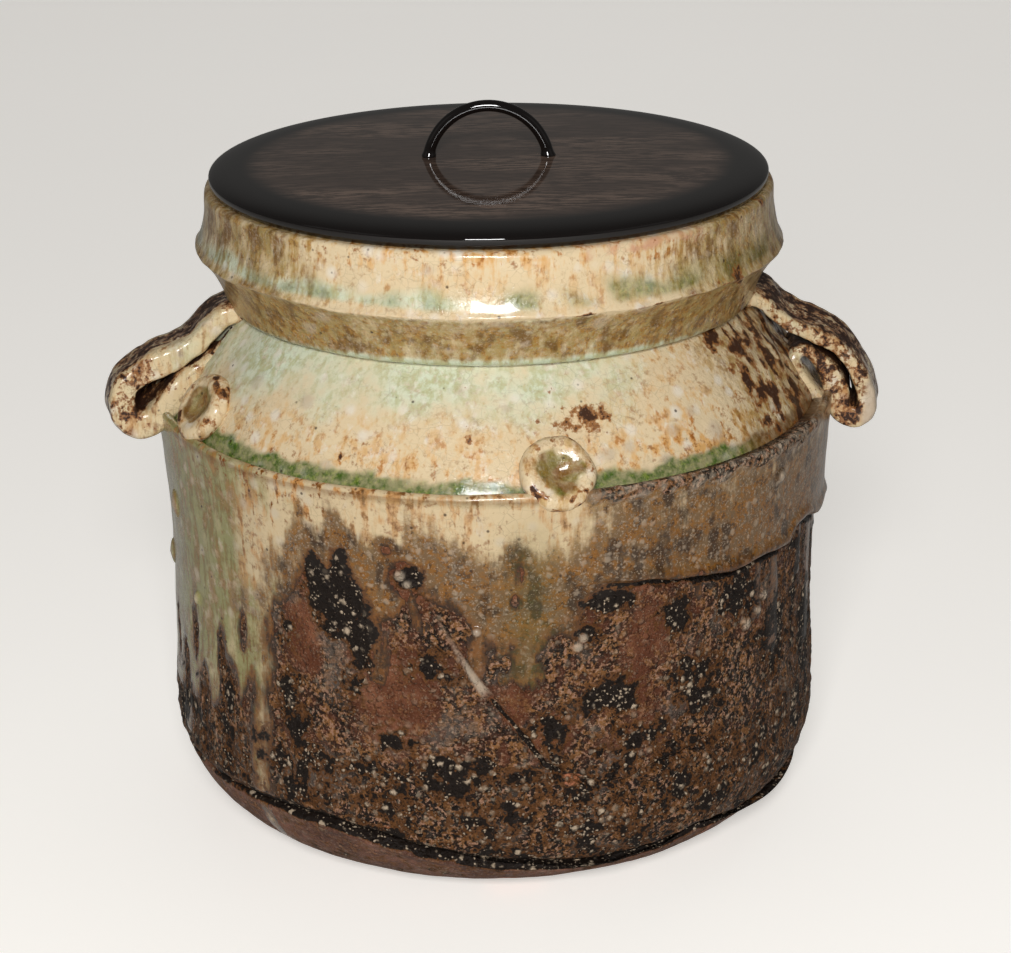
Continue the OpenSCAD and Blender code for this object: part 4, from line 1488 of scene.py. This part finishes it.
@dataclass
class Collar:
    """Flaring collar with a sharp crease round its middle and a rolled rim."""

    low_r: float = 77.3
    crease_r: float = 85.0
    rim_r: float = 82.0
    foot_z: float = 156.0
    crease_z: float = 172.0
    rim_z: float = 189.0
    mouth_r: float = 75.0
    room_r: float = 65.5
    round: float = 1.6
    hollow: float = 1.0
    rows: int = 30
    stones: Scatter = scattered(
        Blot, (-11, 184, 2.2, 1.8), (-33, 168, 3.0, 2.2), (-38, 163, 3.0, 2.2),
        (21, 168, 3.0, 2.6), (2, 170, 3.4, 1.6), (29, 171, 3.0, 2.0), (-8, 161, 1.6, 1.2),
        (7, 163, 1.6, 1.2)
    )

    def waver(self, place: Place) -> float:
        """Millimetres that the crease draws a place above its plain height."""
        near = bell(place.height - self.crease_z, 6.0)
        return near * place.lumps((1.1, 30.0, 5.0), (0.5, 9.0, 5.0))

    def outside(self) -> Outline:
        """Outside of the collar from its lower edge over the crease to the rim.

        Returns:
            Points of the outside.
        """
        low = Vector((self.low_r, self.foot_z + self.round))
        crease = Vector((self.crease_r, self.crease_z))
        high = Vector((self.rim_r, self.rim_z - self.round))
        points = arc((low.x - self.round, low.y), self.round, -90, -12, 5)
        for start, end in ((low, crease), (crease, high)):
            along = end - start
            inward = Vector((-along.y, along.x)).normalized() * 2.0 * self.hollow
            points += bow(start, (start + end) / 2 + inward, end, self.rows)
        return points + arc((high.x - self.round, high.y), self.round, 0, 90, 6)

    def paint(self, vert: bmesh.types.BMVert) -> Paint:
        """Marks of a point of the collar.

        Args:
            vert: Point in millimetres.

        Returns:
            Its marks.
        """
        place = Place.of(vert.co)
        turn, height = place.azimuth, place.height
        over = height - self.crease_z
        upper = ease(0.6, 3.0, over)
        band = upper * ease(9.5, 3.5, over + 3.0 * place.lump(14.0))
        lower = ease(0.0, -2.0, over)
        right = plateau(20.0, 55.0, 100.0, 140.0, turn)
        left = plateau(-140.0, -100.0, -46.0, -22.0, turn)
        lip = ease(-13.0, -15.5, over)
        under = lower * (1.0 - lip)
        blush = plateau(8.0, 20.0, 40.0, 60.0, turn)
        blush *= ease(183.0, 187.0, height + 3.0 * place.lump(11.0, 4.0))
        creased = 0.5 * bell(over - self.waver(place) + 0.3, 0.55)
        creased *= ease(-0.3, 0.3, place.lump(5.0, 8.0)) * ease(-2.0, 20.0, turn) * place.shown
        mossy = place.lump(9.0, 3.0) + 0.5 * ease(0.0, 30.0, turn) * place.shown
        # The dip at the crease leaves a paler line along it: a painted highlight on the crease's
        # ridge.
        rust = 0.4 + 0.5 * ease(8.0, 15.0, over) - 0.2 * bell(over, 1.2)
        return {
            Mark.GLAZE: FULL_GLAZE,
            Mark.MINT: 0.75 * band * ease(30.0, -20.0, turn) * place.shown + 0.5 * (lower + lip),
            Mark.MOSS: 0.75 * band * ease(-0.1, 0.5, mossy) + 0.35 * lip,
            Mark.HAZE: 0.75 * under + 0.7 * right + 0.65 * left * (1.0 - 0.5 * band),
            Mark.SCORCH: max(0.36 * right * ease(0.0, 0.5, place.drag(4.0, 20.0)), creased),
            Mark.STONE: 0.5 * ease(0.0, 0.5, self.stones.top(place)),
            Mark.BLUSH: 0.5 * blush,
            Mark.RUST: rust + 0.25 * under + 0.25 * max(left, right),
        }

    def build(self, material: bpy.types.Material) -> None:
        """Build the collar.

        Args:
            material: Its finish.
        """
        outside = self.outside()
        mouth = arc((self.mouth_r + self.round, self.rim_z - self.round), self.round, 90, 180, 4)
        inner = (self.crease_r - (self.rim_r - self.mouth_r), self.crease_z)
        inside = mouth + line(mouth[-1], inner, 6)[1:] + line(inner, (self.room_r, self.foot_z), 6)
        inside += line((self.room_r, self.foot_z), outside[0], 4)
        mesh = turned(outside + inside, closed=True)
        heights = [(z, r) for r, z in outside]
        for vert in mesh.verts:
            place = Place.of(vert.co)
            plain = follow(heights, place.height)
            if place.radius < plain - 1.5 and place.height < self.rim_z - 0.01:
                continue
            over = place.height - self.crease_z
            free = ease(self.rim_z, self.rim_z - 3.0, place.height)
            rise = place.lumps((0.55, 40.0, 2.0), (0.25, 12.0, 6.0), (0.1, 4.5, 1.0))
            rise += 0.25 * bell(over, 0.8) * (1.0 + place.lump(6.0, 9.0))
            rise += 0.3 * math.sqrt(max(0.0, self.stones.top(place)))
            vert.co += place.outward * rise * free + Vector((0, 0, self.waver(place)))
        painted(mesh, self.paint)
        finished(mesh, "collar", Body.JAR, material)


@dataclass
class Ear:
    """Strap of clay bent into a loop, with both ends pressed on the shoulder."""

    node: str
    azimuth: float
    route: Curve
    shoulder: Shoulder
    root_t: float
    tip_t: float
    end_t: float
    rim_pale: Curve
    face_pale: Curve
    room: Curve
    near_shut: Curve
    far_shut: Curve
    near: int
    chip: float = -1.0
    root_w: float = 26.0
    tip_w: float = 18.0
    tip_over: float = 0.24
    softness: float = 0.42
    sides: int = 72
    steps: int = 9
    deepest: float = -4.5
    roll: float = 0.0
    lean: float = 0.0
    level_from: float = 0.5
    level_over: float = 0.2

    @classmethod
    def left(cls, shoulder: Shoulder) -> "Ear":
        """The left ear, on its shoulder."""
        return cls(
            "left_ear", -78.0, shoulder=shoulder, root_t=6.6, tip_t=8.6, end_t=6.6, roll=5.0,
            near=1,
            route=(
                (41, -8), (37.5, -1.4), (32.5, 3.3), (27, 4.6), (21.5, 5.5), (16.5, 7.8),
                (12, 11.2), (7, 14.3), (1, 15.7), (-4, 14.4), (-7.6, 11.2), (-8, 6.8), (-4.8, 3.4),
                (0.6, 2.2), (7, 1.2), (13.5, -0.3), (20, -1.8), (26, -2.8), (31, -3.4), (35, -3.8)
            ),
            rim_pale=(
                (0.0, 0.5), (0.08, 0.95), (0.26, 0.9), (0.36, 0.55), (0.5, 0.5), (0.6, 0.6),
                (0.68, 0.85), (0.8, 0.75), (1.0, 0.4)
            ),
            face_pale=((0.0, 0.3), (0.3, 0.4), (0.55, 0.4), (0.68, 0.7), (1.0, 0.6)),
            room=((-0.5, 8.8), (4, 8.5), (8, 7.4), (13.5, 4.8), (20, 2.1), (26, 0.9)),
            near_shut=(
                (0.1, 0.0), (0.16, 0.9), (0.24, 0.95), (0.3, 0.85), (0.36, 0.5), (0.42, 0.2),
                (0.62, 0.15), (0.7, 0.3), (0.76, 0.6), (0.82, 0.9), (0.88, 0.95), (0.94, 0.0)
            ),
            far_shut=((0.1, 0.0), (0.15, 1.0), (0.9, 1.0), (0.95, 0.0)),
        )

    @classmethod
    def right(cls, shoulder: Shoulder) -> "Ear":
        """The right ear, on its shoulder."""
        return cls(
            "right_ear", 86.0, shoulder=shoulder, root_t=5.0, tip_t=6.0, end_t=4.0, lean=4.0,
            near=-1, chip=0.37,
            route=(
                (39, -8), (37, 1), (33, 4.6), (27.5, 5.4), (22, 7.4), (16, 10.8), (9.5, 13.8),
                (3, 14.8), (-3.5, 14.2), (-9, 12.4), (-12.8, 9.2), (-13, 5.2), (-9.4, 2.6),
                (-4.8, 3.6), (-0.4, 5.4), (4, 6.3), (8, 6.6), (11, 6.5), (13.1, 5.6), (14, 3.5),
                (13.1, 1.4), (11, 0.5), (7.6, 0.3), (3, 0.3), (-1, 0.3), (-5, 0.4)
            ),
            rim_pale=(
                (0.0, 0.7), (0.12, 0.55), (0.3, 0.42), (0.45, 0.48), (0.55, 0.45), (0.72, 0.4),
                (0.82, 0.75), (1.0, 0.7)
            ),
            face_pale=((0.0, 0.34), (0.2, 0.38), (0.5, 0.42), (0.75, 0.3), (0.85, 0.6), (1.0, 0.6)),
            room=((-8.5, 7.6), (-3.5, 10.2), (3, 11.0), (9.5, 10.3), (14, 8.6)),
            near_shut=(
                (0.15, 0.0), (0.22, 0.3), (0.38, 0.3), (0.44, 0.7), (0.5, 0.85), (0.64, 0.85),
                (0.7, 0.0)
            ),
            far_shut=((0.15, 0.0), (0.2, 1.0), (0.66, 1.0), (0.71, 0.0)),
        )

    def thick(self, share: float) -> float:
        """Thickness of the strap, which swells at the tip, the route's lowest point.

        Args:
            share: Share of the strap's length.

        Returns:
            Thickness in millimetres.
        """
        lowest = min(range(len(self.route)), key=lambda number: self.route[number][0])
        tip = (lowest - 1) / (len(self.route) - 3)
        plain = self.root_t if share < tip else self.end_t
        off = min(1.0, abs(share - tip) / self.tip_over)
        return plain + (self.tip_t - plain) * (1.0 + math.cos(math.pi * off)) / 2

    def path(self) -> list[Vector]:
        """Draw a smooth curve through the points of the route.

        Returns:
            Radius and height of the strap's middle, ring by ring.
        """
        spots = [self.shoulder.spot(*spot) for spot in self.route]
        path = []
        for a, b, c, d in zip(spots, spots[1:], spots[2:], spots[3:]):
            for i in range(self.steps):
                t = i / self.steps
                path.append((2 * b + (c - a) * t + (2 * a - 5 * b + 4 * c - d) * t ** 2
                             + (3 * b - a - 3 * c + d) * t ** 3) / 2)
        return path

    @property
    def spin(self) -> Matrix:
        """Turn from the plane of radius and height to the ear's place round the jar.

        Returns:
            The turn, with the strap's roll about its seat.
        """
        seat = Matrix.Translation((self.shoulder.seat_r, 0.0, self.shoulder.seat_z))
        rolled = seat @ Matrix.Rotation(math.radians(self.roll), 4, "X") @ seat.inverted()
        return Matrix.Rotation(math.radians(self.azimuth - 90.0), 4, "Z") @ rolled

    def squeeze(self, spot: Vector, share: float) -> Vector:
        """Way from the strap's inside to the middle of the loop's room.

        Args:
            spot: Radius and height of the strap's middle.
            share: Share of the strap's length.

        Returns:
            The way in millimetres, in the ear's place round the jar.
        """
        spots = [self.shoulder.spot(*point) for point in self.room]
        ways = []
        for a, b in zip(spots, spots[1:]):
            along = min(1.0, max(0.0, (spot - a).dot(b - a) / (b - a).length_squared))
            ways.append(a + (b - a) * along - spot)
        way = min(ways, key=lambda found: found.length)
        way *= max(0.0, 1.0 - self.thick(share) / 2 / way.length)
        return self.spin.to_3x3() @ Vector((way.x, 0.0, way.y))

    def rings(self) -> list[Matrix]:
        """Carry the strap's section from one root to the other.

        Returns:
            Frame of each ring.
        """
        path = self.path()
        frames = []
        for i, middle in enumerate(path):
            along = (path[min(i + 1, len(path) - 1)] - path[max(i - 1, 0)]).normalized()
            share = i / (len(path) - 1)
            wide = self.tip_w + (self.root_w - self.tip_w) * (2.0 * share - 1.0) ** 2
            level = (self.level_from - share) / self.level_over
            tilt = Matrix.Rotation(math.radians(-self.lean) * min(1.0, max(0.0, level)), 4, "Z")
            turn = Matrix((
                (-along.y, 0.0, along.x, middle.x),
                (0.0, 1.0, 0.0, 0.0),
                (along.x, 0.0, along.y, middle.y),
                (0.0, 0.0, 0.0, 1.0),
            ))
            section = Matrix.Diagonal((self.thick(share) / 2, wide / 2, 1.0, 1.0))
            frames.append(self.spin @ turn @ tilt @ section)
        return frames

    def build(self, material: bpy.types.Material) -> None:
        """Build the strap by drawing its section along the route.

        Args:
            material: Its finish.
        """
        mesh = bmesh.new()
        edge = mesh.verts.layers.float.new("edge")
        face = mesh.verts.layers.float.new("face")
        length = mesh.verts.layers.float.new("length")
        disc = bmesh.ops.create_circle(mesh, cap_ends=True, segments=self.sides, radius=1.0)
        ring = disc["verts"]
        for vert in ring:
            vert.co = Vector([math.copysign(abs(part) ** self.softness, part) for part in vert.co])
            vert[edge] = vert.co.y
            vert[face] = vert.co.x
        frames = self.rings()
        bmesh.ops.transform(mesh, matrix=frames[0], verts=ring)
        edges = list(mesh.edges)
        for number, (before, after) in enumerate(zip(frames, frames[1:])):
            drawn = bmesh.ops.extrude_edge_only(mesh, edges=edges)["geom"]
            ring, edges = parts_of(drawn)
            bmesh.ops.transform(mesh, matrix=after @ before.inverted(), verts=ring)
            for vert in ring:
                vert[length] = (number + 1) / len(frames)
        bmesh.ops.contextual_create(mesh, geom=edges)
        last = len(frames) - 1
        ways = [self.squeeze(spot, number / last) for number, spot in enumerate(self.path())]
        for vert in mesh.verts:
            number = round(vert[length] * len(frames))
            shut = follow(self.near_shut, vert[length])
            far = ease(0.4, -0.5, vert[edge] * self.near)
            shut += (follow(self.far_shut, vert[length]) - shut) * far
            vert.co += ways[number] * shut * ease(0.0, -0.7, vert[face])
        bmesh.ops.recalc_face_normals(mesh, faces=mesh.faces)
        self._rumple(mesh)
        painted(mesh, lambda vert: self.paint(vert, vert[edge], vert[face], vert[length]))
        finished(mesh, self.node, Body.JAR, material)

    def _rumple(self, mesh: bmesh.types.BMesh) -> None:
        """Give the strap its finger marks and keep its roots inside the shoulder's thickness.

        Args:
            mesh: Mesh in millimetres.
        """
        mesh.normal_update()
        for vert in mesh.verts:
            place = Place.of(vert.co)
            rise = place.lumps((0.75, 11.0, self.root_t), (0.35, 4.5, 3.0), (0.16, 2.2, 5.0))
            vert.co += vert.normal * rise
        seat = self.shoulder.spot(0.0, 0.0)
        for vert in mesh.verts:
            place = Place.of(vert.co)
            flat = Vector((place.radius, place.height)) - seat
            deep = self.deepest - flat.dot(self.shoulder.off)
            if deep > 0.0 and flat.dot(self.shoulder.up) > 0.0:
                vert.co += self.shoulder.raised(place, deep)

    def paint(self, vert: bmesh.types.BMVert, edge: float, face: float, length: float) -> Paint:
        """Marks of a point of the strap.

        Args:
            vert: Point in millimetres.
            edge: Place across the strap, from -1 to 1.
            face: 1 on the outside of the loop, -1 on its inside.
            length: Share of the strap's length.

        Returns:
            Its marks.
        """
        place = Place.of(vert.co)
        rim = ease(0.55, 0.9, abs(edge) + 0.25 * place.lump(6.0, 2.0))
        along = length + 0.05 * place.lump(8.0)
        pale = rim * follow(self.rim_pale, along) + (1.0 - rim) * follow(self.face_pale, along)
        pale *= 1.0 - 0.6 * (1.0 - rim) * ease(0.0, -0.6, face)
        chipped = ease(0.08, 0.04, abs(along - self.chip))
        chipped *= ease(-0.3, 0.2, face + 0.6 * place.lump(5.0, 7.0))
        chipped *= ease(0.2, 0.5, self.near * edge + 0.6 * place.lump(4.0, 3.0))
        return {
            Mark.GLAZE: FULL_GLAZE,
            Mark.MINT: 0.35 * pale,
            Mark.SCORCH: 0.85 * (1.0 - pale) * (1.0 - chipped),
            Mark.HAZE: 0.35 * (1.0 - pale),
            Mark.STONE: 0.9 * chipped,
            Mark.RUST: 0.4 + 0.7 * (1.0 - pale),
        }


@dataclass
class Pellet:
    """Clay button pressed on the shoulder with a thumb's dimple in it."""

    node: str
    azimuth: float
    shoulder: Shoulder
    radius: float = 10.25
    thick: float = 5.6
    dimple: float = 2.2
    sunk: float = 1.5
    rows: int = 16
    up: float = 5.0

    def build(self, material: bpy.types.Material) -> None:
        """Build the button.

        Args:
            material: Its finish.
        """
        side = self.thick / 2
        brim = self.radius - side
        outline = line((0.0, -self.sunk), (brim + side * 0.7, -self.sunk), 5)
        outline += arc((brim, self.thick - side), side, -40, 90, 14)
        shares = [1.0 - (i + 1) / self.rows for i in range(self.rows)]
        outline += [
            (brim * share, self.thick - self.dimple * (1.0 + math.cos(math.pi * share)) / 2)
            for share in shares
        ]
        mesh = turned(outline, closed=False, steps=96)
        centre = self.shoulder.spot(self.up, 0.0)
        lean = Matrix.Rotation(math.acos(self.shoulder.off.y), 4, "Y")
        move = Matrix.Translation((centre.x, 0.0, centre.y))
        turn = Matrix.Rotation(math.radians(self.azimuth - 90.0), 4, "Z")
        layer = mesh.verts.layers.float.new("out")
        for vert in mesh.verts:
            vert[layer] = math.hypot(vert.co.x, vert.co.y) / self.radius
            uneven = noise.noise(Vector((vert.co.x / 9.0, vert.co.y / 9.0, self.azimuth)))
            squeeze = 1.0 + 0.07 * uneven
            vert.co.x *= squeeze
            vert.co.y *= squeeze
        bmesh.ops.transform(mesh, matrix=turn @ move @ lean, verts=mesh.verts)
        mesh.normal_update()
        for vert in mesh.verts:
            place = Place.of(vert.co)
            rise = place.lumps((0.35, 6.0, 4.0), (0.18, 2.6, 1.0))
            vert.co += vert.normal * rise * ease(0.0, 0.3, vert[layer])
        painted(mesh, lambda vert: self.paint(vert, vert[layer]))
        finished(mesh, self.node, Body.JAR, material)

    def paint(self, vert: bmesh.types.BMVert, out: float) -> Paint:
        """Marks of a point of the button.

        Args:
            vert: Point in millimetres.
            out: Distance from its middle, as a share of its radius.

        Returns:
            Its marks.
        """
        place = Place.of(vert.co)
        middle = ease(0.66, 0.5, out + 0.2 * place.lump(4.0))
        brim = ease(0.6, 0.72, out)
        return {
            Mark.GLAZE: FULL_GLAZE,
            Mark.MINT: 0.3 * middle,
            Mark.MOSS: middle * (0.6 + 0.4 * place.lump(5.0, 3.0)),
            Mark.HAZE: 0.8 * middle + 0.25 * brim,
            Mark.SCORCH: 0.44 * brim * ease(-0.3, 0.3, place.lump(2.6, 6.0)),
            Mark.BLUSH: 0.34 * brim,
            Mark.RUST: 0.6 + 0.4 * middle * ease(0.3, -0.3, place.lump(4.0, 8.0)),
        }


@dataclass
class Lid:
    """Turned lid with a locating ring under it and a bent rod for a handle."""

    radius: float = 80.6
    thick: float = 6.1
    nose: float = 2.8
    slope: float = 11.0
    crown: float = 0.8
    under: float = 1.4
    rest_z: float = 189.0
    ring_r: float = 73.8
    ring_t: float = 4.5
    ring_h: float = 5.0
    ring_soft: float = 0.5
    handle_w: float = 38.0
    handle_h: float = 16.3
    rod_r: float = 1.7
    tenon: float = 3.0
    foot_swell: float = 0.3

    def board(self, material: bpy.types.Material) -> None:
        """Build the turned board.

        Args:
            material: Its finish.
        """
        edge = Vector((self.radius, self.nose))
        foot = Vector((self.radius - self.under, 0.0))
        brow = Vector((self.radius - self.slope, self.thick - self.crown))
        inner = self.ring_r - self.ring_t
        soft = self.ring_soft
        low = soft - self.ring_h
        top = Vector((0.0, self.thick))
        outline = line((0.0, 0.0), (inner, 0.0), 6) + line((inner, 0.0), (inner, low), 3)
        outline += arc((inner + soft, low), soft, 180, 270, 3)
        outline += arc((self.ring_r - soft, low), soft, 270, 360, 3)
        outline += line((self.ring_r, 0.0), tuple(foot), 3)
        outline += bow(foot, Vector((self.radius, self.nose / 3)), edge, 8)
        outline += bow(edge, Vector((self.radius, brow.y - self.crown / 4)), brow, 22)
        outline += bow(brow, Vector((brow.x / 2, self.thick)), top, 24) + [tuple(top)]
        mesh = turned([(r, z + self.rest_z) for r, z in outline], closed=False, steps=300)
        # The board's mark places the painted reflection: full on the flat top, fading out before
        # the sloped rim.
        brown_reflection = (brow.x + 2.0, brow.x - 6.0)
        painted(mesh, lambda vert: {Mark.RUST: ease(*brown_reflection, Place.of(vert.co).radius)})
        finished(mesh, "lid_board", Body.LID, material)

    def handle(self, material: bpy.types.Material) -> None:
        """Build the handle: an arc of rod with a short tenon and a collar of lacquer at each foot.

        Args:
            material: Its finish.
        """
        top = self.rest_z + self.thick
        arch_r = (self.handle_w ** 2 / 4 + self.handle_h ** 2) / (2 * self.handle_h) - self.rod_r
        arch_z = self.handle_h - self.rod_r - arch_r
        spring = math.asin(-arch_z / arch_r)
        mesh = bmesh.new()
        foot_x = arch_r * math.cos(spring)
        ring = bmesh.ops.create_circle(
            mesh, cap_ends=False, segments=28, radius=self.rod_r,
            matrix=Matrix.Translation((foot_x, 0.0, top)))["verts"]
        start = list(mesh.edges)
        bmesh.ops.spin(mesh, geom=ring + start, cent=(0.0, 0.0, top + arch_z),
                       axis=(0.0, -1.0, 0.0), angle=math.pi - 2.0 * spring, steps=96)
        for edges in (start, [e for e in mesh.edges if e.is_boundary and e not in start]):
            drawn = bmesh.ops.extrude_edge_only(mesh, edges=edges)["geom"]
            verts, edges = parts_of(drawn)
            for vert in verts:
                vert.co.z = top - self.tenon
            bmesh.ops.contextual_create(mesh, geom=edges)
        bmesh.ops.recalc_face_normals(mesh, faces=mesh.faces)
        for vert in mesh.verts:
            thicker = 1.0 + self.foot_swell * bell(vert.co.z - top, 1.0)
            axis = math.copysign(foot_x, vert.co.x)
            vert.co.x = axis + (vert.co.x - axis) * thicker
            vert.co.y *= thicker
        finished(mesh, "lid_handle", Body.LID, material)


@dataclass(frozen=True)
class Lamp:
    """Soft square lamp that faces the jar, in metres and watts."""

    name: str
    place: tuple[float, float, float]
    size: float
    power: float
    mirrored: bool = True
    aim: tuple[float, float, float] = (0.0, 0.0, 0.11)

    def hang(self) -> None:
        """Hang the lamp where the lacquer mirrors it or doesn't."""
        light = bpy.data.lights.new(self.name, "AREA")
        light.size = self.size
        light.energy = self.power
        lamp = bpy.data.objects.new(self.name, light)
        lamp.location = self.place
        lamp.visible_glossy = self.mirrored
        way = Vector(self.aim) - Vector(self.place)
        lamp.rotation_euler = way.to_track_quat("-Z", "Y").to_euler()
        bpy.context.collection.objects.link(lamp)


@dataclass
class Studio:
    """Pale floor, soft lamps and the camera at the photograph's angle."""

    image_w: int = 1011
    focal_px: float = 2600.0
    sensor: float = 36.0
    eye: tuple[float, float, float] = (0.0038, -0.735, 0.371)
    pitch: float = 20.5
    roll: float = -0.7
    floor_half: float = 4.0
    lamps: tuple[Lamp, ...] = (
        Lamp("key", (-0.03, -1.05, 0.62), 0.28, 10.6),
        Lamp("left_fill", (-1.3, -0.7, 0.9), 1.0, 0.4),
        Lamp("right_fill", (1.3, -0.7, 0.8), 1.0, 0.35),
        Lamp("back_fill", (0.25, 1.3, 1.6), 2.2, 7.0, mirrored=False),
    )

    def build(self) -> None:
        """Set up the floor, the world, the lamps and the camera."""
        self._floor()
        self._world()
        for lamp in self.lamps:
            lamp.hang()
        self._camera()

    def _floor(self) -> None:
        """Lay the floor, which the camera sees a little brighter than its light makes it."""
        mesh = bmesh.new()
        bmesh.ops.create_grid(mesh, x_segments=2, y_segments=2, size=self.floor_half)
        data = bpy.data.meshes.new("floor")
        mesh.to_mesh(data)
        mesh.free()
        material, sheet, shader = new_material("pale_floor")
        cloud = sheet.cloud(sheet.millimetres(), 400.0)
        seen = sheet.times(sheet.put("ShaderNodeLightPath").outputs["Is Camera Ray"], 0.5)
        sheet.feed(shader, {
            "Base Color": sheet.blend(cloud, tone(236, 233, 228), tone(242, 239, 234)),
            "Roughness": 0.8,
            "Emission Color": sheet.blend(seen, tone(0, 0, 0), tone(240, 237, 232)),
            "Emission Strength": 1.0,
        })
        data.materials.append(material)
        floor = bpy.data.objects.new("floor", data)
        bpy.context.collection.objects.link(floor)

    def _world(self) -> None:
        """Fill the room with even light, brighter where the camera or the lacquer sees it."""
        world = bpy.data.worlds.new("room")
        world.use_nodes = True
        sheet = Sheet(world.node_tree)
        paths = sheet.put("ShaderNodeLightPath").outputs
        seen = sheet.mixed((paths["Is Camera Ray"], 0.2), (paths["Is Glossy Ray"], 0.06))
        sheet.feed(world.node_tree.nodes["Background"], {
            "Color": tone(226, 224, 220), "Strength": sheet.calc("ADD", seen, 0.08),
        })
        bpy.context.scene.world = world

    def _camera(self) -> None:
        """Stand the camera where the photograph was taken from."""
        data = bpy.data.cameras.new("camera")
        data.sensor_fit = "HORIZONTAL"
        data.sensor_width = self.sensor
        data.lens = self.focal_px * self.sensor / self.image_w
        camera = bpy.data.objects.new("camera", data)
        tilt = Matrix.Rotation(math.radians(90.0 - self.pitch), 4, "X")
        roll = Matrix.Rotation(math.radians(self.roll), 4, "Z")
        camera.matrix_world = Matrix.Translation(self.eye) @ tilt @ roll
        bpy.context.collection.objects.link(camera)
        bpy.context.scene.camera = camera


FINISHES = (
    ClayFinish(
        "wall_glaze", cream=tone(206, 184, 146), mint=tone(146, 142, 92), olive=tone(100, 90, 42),
        milk=tone(202, 188, 164), crazed=0.2
    ),
    ClayFinish(
        "pale_glaze", cream=tone(222, 200, 162), mint=tone(212, 219, 194), milk=tone(232, 224, 210),
        peach=tone(218, 168, 104), amber=tone(176, 110, 42), freckle=tone(144, 84, 30),
        soot_and_shade=tone(66, 40, 24), thin_grey=tone(162, 138, 84), thin_gold=tone(160, 116, 50),
        thin_dark=tone(108, 74, 30), thin_pale=tone(170, 144, 86), thin_blue=tone(158, 144, 100),
        salmon=tone(206, 158, 124), singe_and_shade=tone(146, 90, 40), freckled=0.85, crazed=0.16
    ),
    ClayFinish(
        "ear_glaze", cream=tone(214, 192, 152), soot_and_shade=tone(54, 32, 20), singe_and_shade=tone(138, 88, 48),
        thin_grey=tone(136, 96, 64), thin_gold=tone(120, 78, 40), thin_pale=tone(150, 108, 72),
        thin_blue=tone(128, 96, 72), mottle=(1.2, 1.9, 0.9)
    ),
    ClayFinish("raw_clay", mauve=tone(90, 60, 48), mauve_pale=tone(128, 88, 71)),
    LacquerFinish("lacquer"),
)


def main() -> None:
    """Build every piece of the jar and its lid, then the studio round them."""
    logging.basicConfig(level=logging.INFO, format="%(name)s: %(message)s")
    bpy.context.scene.view_settings.view_transform = "Standard"
    made = {Slot(finish.name): finish.build() for finish in FINISHES}
    drum = Drum()
    shoulder = Shoulder()
    lid = Lid()
    drum.slab(made[Slot.RAW_CLAY])
    drum.wall(made[Slot.WALL_GLAZE])
    shoulder.build(made[Slot.PALE_GLAZE])
    Collar().build(made[Slot.PALE_GLAZE])
    for ear in (Ear.left(shoulder), Ear.right(shoulder)):
        ear.build(made[Slot.EAR_GLAZE])
    Pellet("front_pellet", 10.5, shoulder).build(made[Slot.PALE_GLAZE])
    Pellet("left_pellet", -60.5, shoulder, up=9.0).build(made[Slot.PALE_GLAZE])
    lid.board(made[Slot.LACQUER])
    lid.handle(made[Slot.LACQUER])
    Studio().build()


if __name__ == "__main__":
    main()
